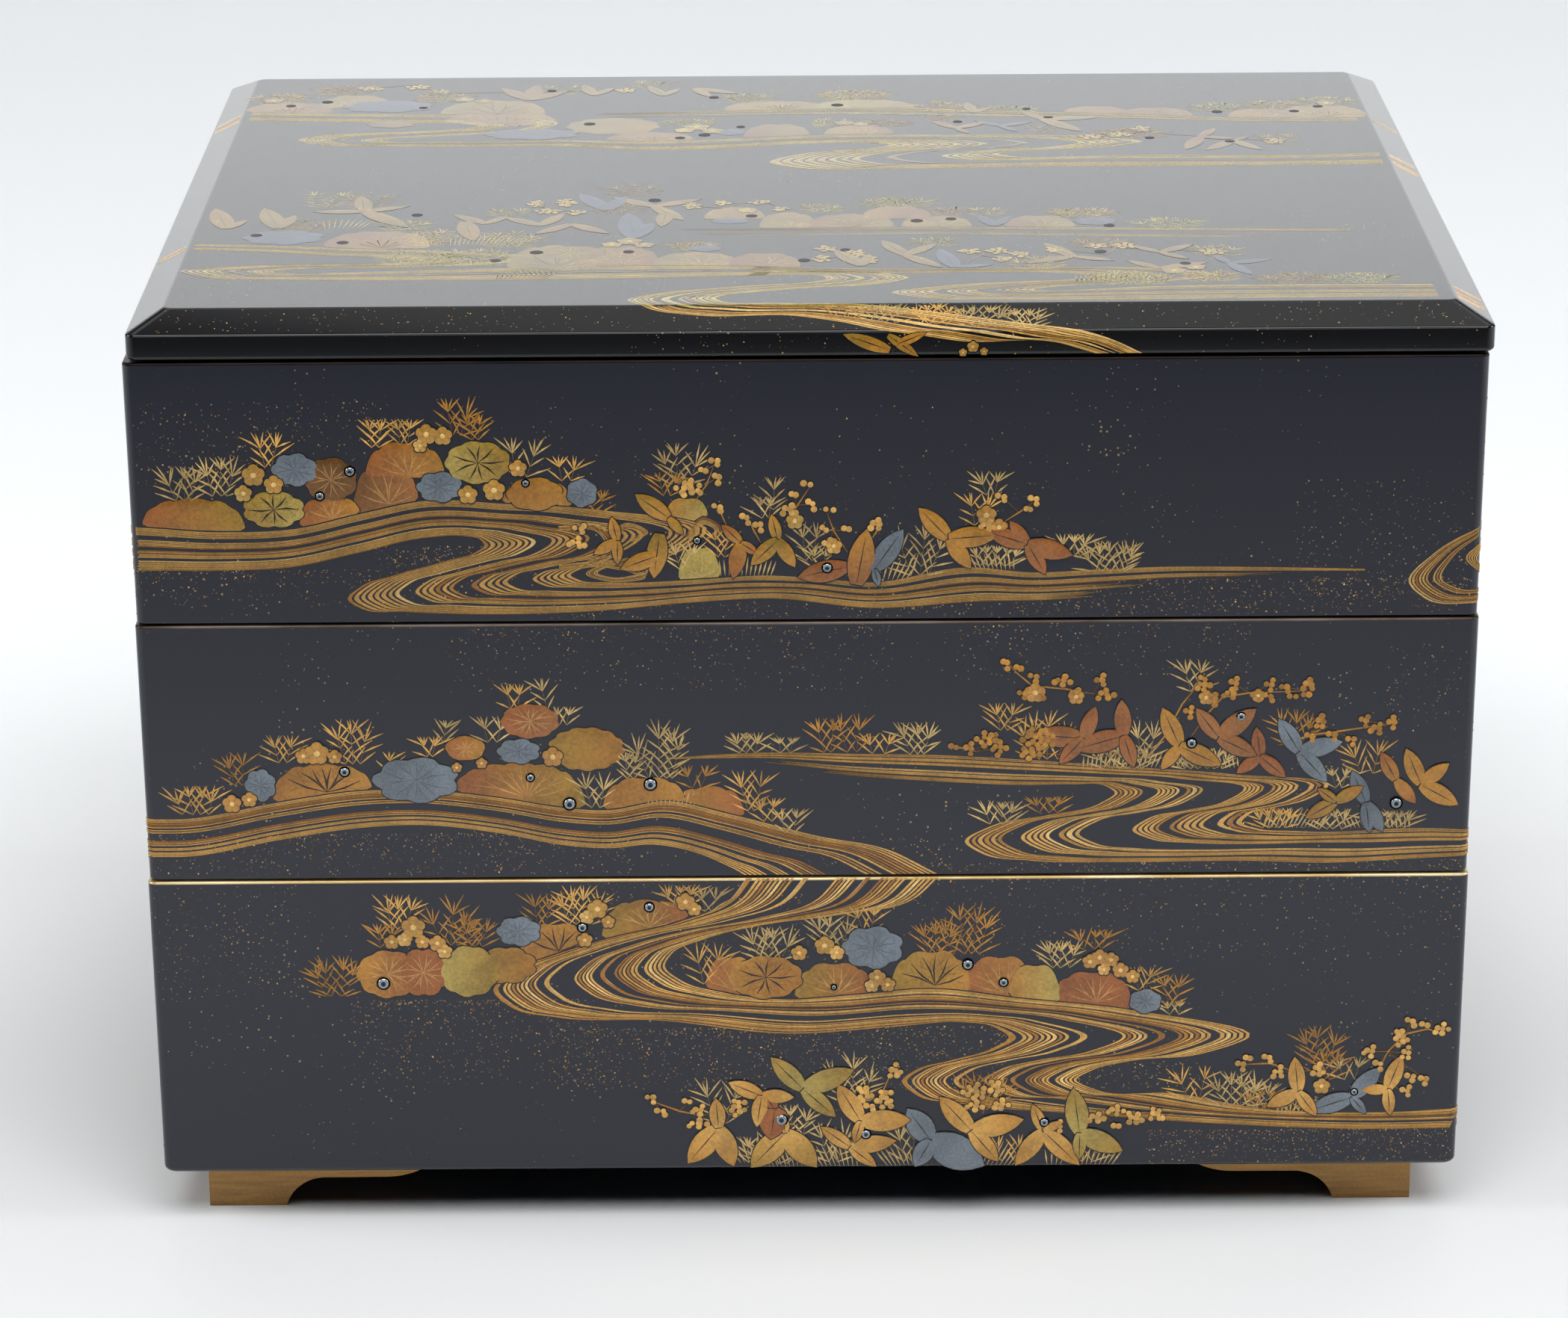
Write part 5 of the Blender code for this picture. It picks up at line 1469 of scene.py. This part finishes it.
def tuft(film, dice, left, right, low, high, name="hay", level=0.1):
    """Grass: leaning stems with pairs of tapered blades at their joints and a fan at the tip."""
    middle, half = (left + right) / 2, (right - left) / 2
    stems = max(round((right - left) / STEM_PITCH), 1)
    for stem in range(stems):
        share = 2 * (stem + dice.uniform(0.3, 0.7)) / stems - 1
        tall = (high - low) * (1 - 0.5 * share * share) * dice.uniform(0.85, 1.0)
        lean = 0.45 * share + dice.uniform(-0.1, 0.1)
        foot = (middle + 0.55 * half * share, low)
        joints = max(round(tall / JOINT_PITCH), 1)
        colour = tone(name) * dice.uniform(0.85, 1.25)
        top = (foot[0] + 0.75 * tall * sin(lean), low + 0.75 * tall * cos(lean))
        film.stroke([foot, top], GRASS_STEM, colour, level, 0.04, 0.8)
        for joint in range(joints + 1):
            share_up = joint / joints
            spot = (foot[0] + share_up * (top[0] - foot[0]), foot[1] + share_up * (top[1] - foot[1]))
            for angle in FAN if joint == joints else PAIR:
                way = lean + radians(angle + dice.uniform(-10, 10))
                length = min(dice.uniform(*BLADE_LENGTHS), 1.25 * (high - spot[1]) / max(cos(way), 0.3))
                tip = (spot[0] + length * sin(way), spot[1] + length * cos(way))
                bend = ((spot[0] + tip[0]) / 2, (spot[1] + tip[1]) / 2 + 0.04 * length * cos(way))
                film.stroke([spot, bend, tip], BLADE, colour, level, 0.05, 0.35)


def comb(film, left, right, low, high, lean, name="hay", level=0.1):
    """Young rushes drawn as close parallel strokes."""
    count = max(round((right - left) / RUSH_PITCH), 3)
    for step in range(count + 1):
        x = left + (right - left) * step / count
        way = lean + 0.25 * (2 * step / count - 1)
        rise = (high - low) * (0.75 + 0.25 * sin(pi * step / count))
        film.stroke([(x, low), (x + 0.5 * rise * way, low + 0.5 * rise), (x + rise * way, low + rise)],
                    BLADE, tone(name), level, 0.04, 0.5)


# Dew drops: domed silver studs let into the lacquer, each in a dark ring, with a painted dark reflection
# at the heart of the dome. On the lid they have dulled and darkened. A stud: centre and radius.
STUD_RING = 0.3
STUD_EDGE = 0.04
STUD_LEVEL = 0.42
STUD_DOME = ((1.0, 0.0), (0.94, 0.12), (0.8, 0.22), (0.6, 0.24), (0.44, 0.2), (0.38, 0.1), (0.18, 0.06))
STUDS = {
    "upper_tier": [
        (-100.7, 35.6, 1.3), (-107.5, 29.9, 1.15), (-62, 32.6, 1), (-24.3, 19, 1), (4.5, 12.4, 1.3),
    ],
    "middle_tier": [
        (-104.3, 26.2, 1.3), (-62.5, 24.5, 1.1), (-53.8, 18.1, 1.6), (-35.5, 22.7, 1.6), (86.3, 31.7, 1.3),
        (97.3, 38, 1.2), (132.8, 16.9, 1.5),
    ],
    "lower_tier": [
        (-97.2, 47.8, 1.6), (-51.5, 61.3, 1.3), (-36.2, 66.2, 1.3), (5.7, 46.1, 0.8), (36.3, 51.5, 1.4),
        (44.5, 47, 1.2), (-6.5, 12.9, 1.6), (13, 9.1, 1.3), (54.2, 11.8, 1.2), (125.5, 19, 1),
    ],
    "lid": [
        (-131, 81, 1.3), (-122, 85, 1.5), (-97, 78, 1.2), (-65, 96, 1.2), (-54, 59, 1.5), (-23, 87.5, 1.3),
        (-31, 43.5, 1.3), (-25, 46.5, 1.5), (-16, 55, 1.1), (8.5, 78, 1.6), (38.5, 59, 1.2),
        (56.5, 72.5, 1.1), (61.5, 63, 1.3), (85.5, 40.5, 1.2), (104.5, 68, 1.4), (105, 36, 1.3),
        (124, 68, 1.3), (130.5, 73, 1.3), (-127.5, -49.5, 1.4), (-107, -56.5, 1.4), (-91.5, -31.5, 1.3),
        (-36, -19, 1.5), (-13, -34.5, 1.4), (-62, -66.5, 1.6), (-41, -66.5, 1.3), (-71, -73.5, 1.3),
        (-1, -75, 1.4), (25.5, -40, 1.5), (33.5, -38.5, 1.3), (70, -45.5, 1.3), (66.5, -69, 1.4),
        (85, -80, 1.3), (8.5, -66, 1.2),
    ],
}

# Polished silver, bright on its shoulder, with a painted dark reflection at its heart. Its colour is laid
# point by point, as the powders' is.
silver_stud, tree, shader = finish("polished_silver_stud", metallic=1.0, roughness=0.2)
laid = node(tree, "ShaderNodeAttribute", attribute_name="powder")
tree.links.new(laid.outputs["Color"], shader.inputs["Base Color"])

# Silver dulled to an even grey.
dulled_stud, tree, shader = finish(
    "dulled_silver_stud", base_color=linear("#626266"), roughness=0.6, specular_ior_level=0.0
)


def stud(film, x, z, radius, level=0.2, bright="bright", heart="painted_dark_reflection"):
    """A dew drop: a domed silver stud let into the lacquer, its heart darkened as a painted reflection, in a
    dark ring.
    """
    ring = wavy(x, z, radius, radius, points=16)
    film.lay([[(*spot, BED) for spot in ring], [(*spot, level) for spot in ring]], [tone("black")] * 2)
    silver = radius - STUD_RING
    rings = [[(*spot, BED) for spot in wavy(x, z, silver, silver, points=16)]]
    for share, lift in STUD_DOME:
        rings.append([(*spot, level + STUD_EDGE + silver * lift) for spot in
                      wavy(x, z, silver * share, silver * share, points=16)])
    # The two innermost rings take the heart's tone, a painted dark reflection.
    film.lay(rings, [tone(bright)] * (len(rings) - 2) + [tone(heart)] * 2)


# Flakes of gold leaf strewn into the wet lacquer from a tube. A cloud of them: left, right, low, high,
# how many, and which side is the denser, the low one, the high one or neither.
FLAKE_POWDERS = ("straw", "hay", "yellow", "mist", "brown")
FLAKE_SIZES = (0.1, 0.26)
FLAKE_LEVEL = 0.03
STREWN = 1.7
DUST = {
    "upper_tier": [
        (-390, -150, 1, 14, 420, "high"), (150, 390, 30, 52, 260, ""), (390, 690, 2, 14, 420, "high"),
        (-150, -60, 4, 12.6, 260, "high"), (-96, -72, 13, 18, 110, ""), (-148, -90, 32, 52, 260, ""),
        (-60, 60, 20, 50, 160, "low"), (-60, 100, 0.6, 4.4, 240, ""), (60, 148, 1, 9, 330, "high"),
        (108, 148, 5, 32, 260, "low"),
    ],
    "middle_tier": [
        (-390, -150, 1, 12, 420, "high"), (150, 390, 30, 54, 260, ""), (390, 690, 34, 56, 420, "high"),
        (-150, -40, 1, 11, 520, "high"), (-80, 20, 45, 60, 330, "high"), (30, 100, 48, 60, 160, "high"),
        (95, 112, 11, 15, 50, ""), (30, 148, 0.6, 3, 160, ""), (130, 148, 34, 55, 70, ""),
        (-12, 34, 2, 9, 90, ""),
    ],
    "lower_tier": [
        (-390, -150, 4, 34, 520, "high"), (150, 390, 34, 70, 420, "high"), (390, 690, 54, 72, 420, "high"),
        (-105, -48, 22, 43.4, 420, "high"), (-60, 46, 20, 36, 900, "high"), (60, 90, 20, 27, 110, ""),
        (78, 149, 1, 9.4, 420, "high"), (-148, -116, 44, 72, 150, ""), (-60, 0, 58, 72, 110, ""),
        (24, 148, 52, 72.4, 420, "high"), (-32, 18, 52, 60, 90, ""),
    ],
    "lid": [
        (-142, 142, -111, -60, 500, ""), (-142, 142, 30, 110, 500, ""), (-100, 100, -34, 10, 160, "low"),
        (-145, 145, -120.4, -112.6, 260, ""), (-40, 60, -126.4, -121.6, 40, ""),
        (-142, -80, -100, -84, 160, ""),
    ],
}


def dust(film, dice, left, right, low, high, count, weight="low"):
    """Flakes of gold leaf strewn in the lacquer, thinning out upwards or downwards."""
    for grain in range(int(STREWN * count)):
        share = dice.random() ** 1.6
        x = dice.uniform(left, right)
        rise = share if weight == "low" else 1 - share if weight == "high" else dice.random()
        z = low + (high - low) * rise
        size = dice.uniform(*FLAKE_SIZES)
        turn = dice.uniform(0, 2 * pi)
        corners = [turn + 2.09 * corner for corner in range(3)]
        chip = [(x + size * cos(corner), z + size * sin(corner)) for corner in corners]
        colour = tone(dice.choice(FLAKE_POWDERS)) * dice.uniform(0.3, 1.0) * (1.9 if grain % 7 == 0 else 1)
        film.lay([[(*spot, BED) for spot in chip], [(*spot, FLAKE_LEVEL) for spot in chip]], [colour] * 2)


# The two sides and the back, which the photo doesn't show: plainer banks and clumps in the same
# manner. A bank: the middle along the wall, the ground's height, the width. A clump has no width.
FAR_BANKS = {
    "upper_tier": [(-256, 18, 46), (222, 26, 38), (498, 21, 36), (590, 26, 50)],
    "middle_tier": [(-286, 22, 46), (240, 16, 40), (580, 28, 44)],
    "lower_tier": [(-268, 49, 50), (240, 20, 42), (484, 51, 46), (322, 18, 34)],
    "lid": [],
}
FAR_LEAVES = {
    "upper_tier": [(-196, 15), (296, 13)],
    "middle_tier": [(-188, 12), (310, 14), (472, 12), (630, 6)],
    "lower_tier": [(-330, 4), (-226, 1.6), (-176, 1.6), (282, 17), (476, 17), (600, 1.6), (640, 1.6)],
    "lid": [],
}


def far_bank(gold, silver, studs, dice, edges, along, low, wide):
    """A plainer bank on a side or the back: leafy mounds on the water's edge, blossoms and grass."""
    count = max(round(wide / 17), 2)
    left = along - wide / 2
    for step in range(count):
        near = left + wide * step / count
        first, second = dice.sample(("ochre", "gold", "yellow", "orange", "green"), 2)
        mound(gold, edges, near, near + 1.15 * wide / count, low, low + dice.uniform(8, 11), first, second,
              dice.choice(("light", "light", "dark", "")), 0.02 + 0.03 * (step % 3))
    tuft(gold, dice, left - 7, left + 3, low + 1, low + 11)
    tuft(gold, dice, along - 5, along + 5, low + 9, low + 19, "ochre")
    tuft(gold, dice, along + 0.42 * wide, along + 0.42 * wide + 12, low + 2, low + 13)
    second = dice.choice(("yellow", "orange"))
    head(gold, along - 0.24 * wide, low + 10.6, 6.2, 4.8, 9, "ochre", second, "light", 0.14)
    head(silver, along + 0.3 * wide, low + 9.4, 5, 3.8, 6, "silver", "mist", "", 0.17)
    for side in (-0.45, 0.04, 0.52):
        flower(gold, along + side * wide, low + dice.uniform(9, 12), dice.uniform(1.7, 2.3), level=0.26)
    stud(studs, along - 0.1 * wide, low + dice.uniform(5, 8), 1.4, STUD_LEVEL)


def far_leaves(gold, dice, along, low):
    """A plainer clump on a side or the back: pointed leaves in threes, a spray of berries and grass."""
    way, size = dice.choice((-1, 1)), dice.uniform(0.85, 1.25)

    def at(x, z, loose=1.2):
        return along + way * size * (x + dice.uniform(-loose, loose)), low + size * z

    comb(gold, along - 9 * size, along + 8 * size, low, low + 6, 0.1 * way, level=0.05)
    tuft(gold, dice, along - 4, along + 10, low + 5, low + 15 * size)
    trio(gold, at(-3, 7, 0), [at(-10, 0.4), at(4, 0.2), at(-3, 15)], "straw", "ochre", 0.24, 0.46)
    root, tips = at(8, 7, 0), [at(-1, 13), at(17, 9), at(11, 1)]
    trio(gold, root, tips, dice.choice(("green", "rust")), "yellow", 0.3, 0.46)
    stem = [at(0, 12), at(5, 19), at(14, 22)]
    clusters = [(*at(x, z), 3, 3) for x, z in ((14, 22), (9, 23), (3, 17), (17, 18))]
    spray(gold, dice, stem, clusters, "straw", 0.2)


# The pictures are laid surface by surface, with fixed random draws: water, banks, leaves, grass,
# berries, blossoms, studs and flakes. Each kind has a height of its own, so that the nearer ones cover
# the ones behind. Every surface gets five pieces, on the same body as its tray or lid.
for name in STREAMS:
    dice = Random(name)
    ground = (on_lid, LID_SHADE) if name == "lid" else (tray_wall(name), (1, 1, 1))
    water, gold, silver, flakes, studs = (Film(*ground) for kind in range(5))
    # The water takes its tier's painted light and shade.
    water.shade = tuple(WATER_SHADE[name] * share for share in water.shade)
    silver.shade = LID_SILVER_SHADE if name == "lid" else silver.shade
    edges = []
    for stations, bundles in STREAMS[name]:
        stream(water, dice, stations, bundles)
        for edge in (0, 1):
            edges.append([tuple(between(stations, edge, at / 4)) for at in range(4 * len(stations) - 3)])
    for index, bank in enumerate(MOUNDS[name]):
        mound(gold, edges, *bank, level=0.02 + 0.03 * (index % 3))
    for index, bloom in enumerate(HEADS[name]):
        head(gold, *bloom, level=0.11 + 0.03 * (index % 3))
    for *bloom, lobes in SILVER_HEADS[name]:
        head(silver, *bloom, min(lobes, 7), "silver", "mist", "light", level=0.17)
    breadth = SLIM if name == "lid" else FULL
    for middle, tips, first, second, *wide in SILVER_LEAVES[name]:
        trio(silver, middle, tips, first, second, 0.24, *(wide or [breadth]))
    for index, (middle, tips, first, second, *wide) in enumerate(LEAVES[name]):
        trio(gold, middle, tips, first, second, 0.24 + 0.06 * (index % 2), *(wide or [breadth]))
    for rushes in COMBS[name]:
        comb(gold, *rushes, level=0.05)
    for bounds in TUFTS[name]:
        tuft(gold, dice, *bounds, dice.choice(("hay", "hay", "straw", "ochre")))
    for stem, clusters in SPRAYS[name]:
        spray(gold, dice, stem, clusters, "ochre" if name == "middle_tier" else "straw", 0.2)
    for blossom in FLOWERS[name]:
        flower(gold, *blossom, 0.26)
    for bank in FAR_BANKS[name]:
        far_bank(gold, silver, studs, dice, edges, *bank)
    for clump in FAR_LEAVES[name]:
        far_leaves(gold, dice, *clump)
    # Tray studs: bright silver shoulders round a painted dark reflection at the heart.
    shades = ("black", "black") if name == "lid" else ("bright", "painted_dark_reflection")
    for drop in STUDS[name]:
        stud(studs, *drop, STUD_LEVEL, *shades)
    for cloud in DUST[name]:
        dust(flakes, dice, *cloud)
    water.piece(f"{name}_water", gold_powder, "gold_lacquer")
    gold.piece(f"{name}_plants", gold_powder, "gold_lacquer")
    flakes.piece(f"{name}_flakes", gold_powder, "gold_lacquer")
    silver.piece(f"{name}_silver_plants", silver_powder, "silver_inlay")
    studs.piece(f"{name}_dew_studs", silver_stud if name != "lid" else dulled_stud, "silver_inlay")
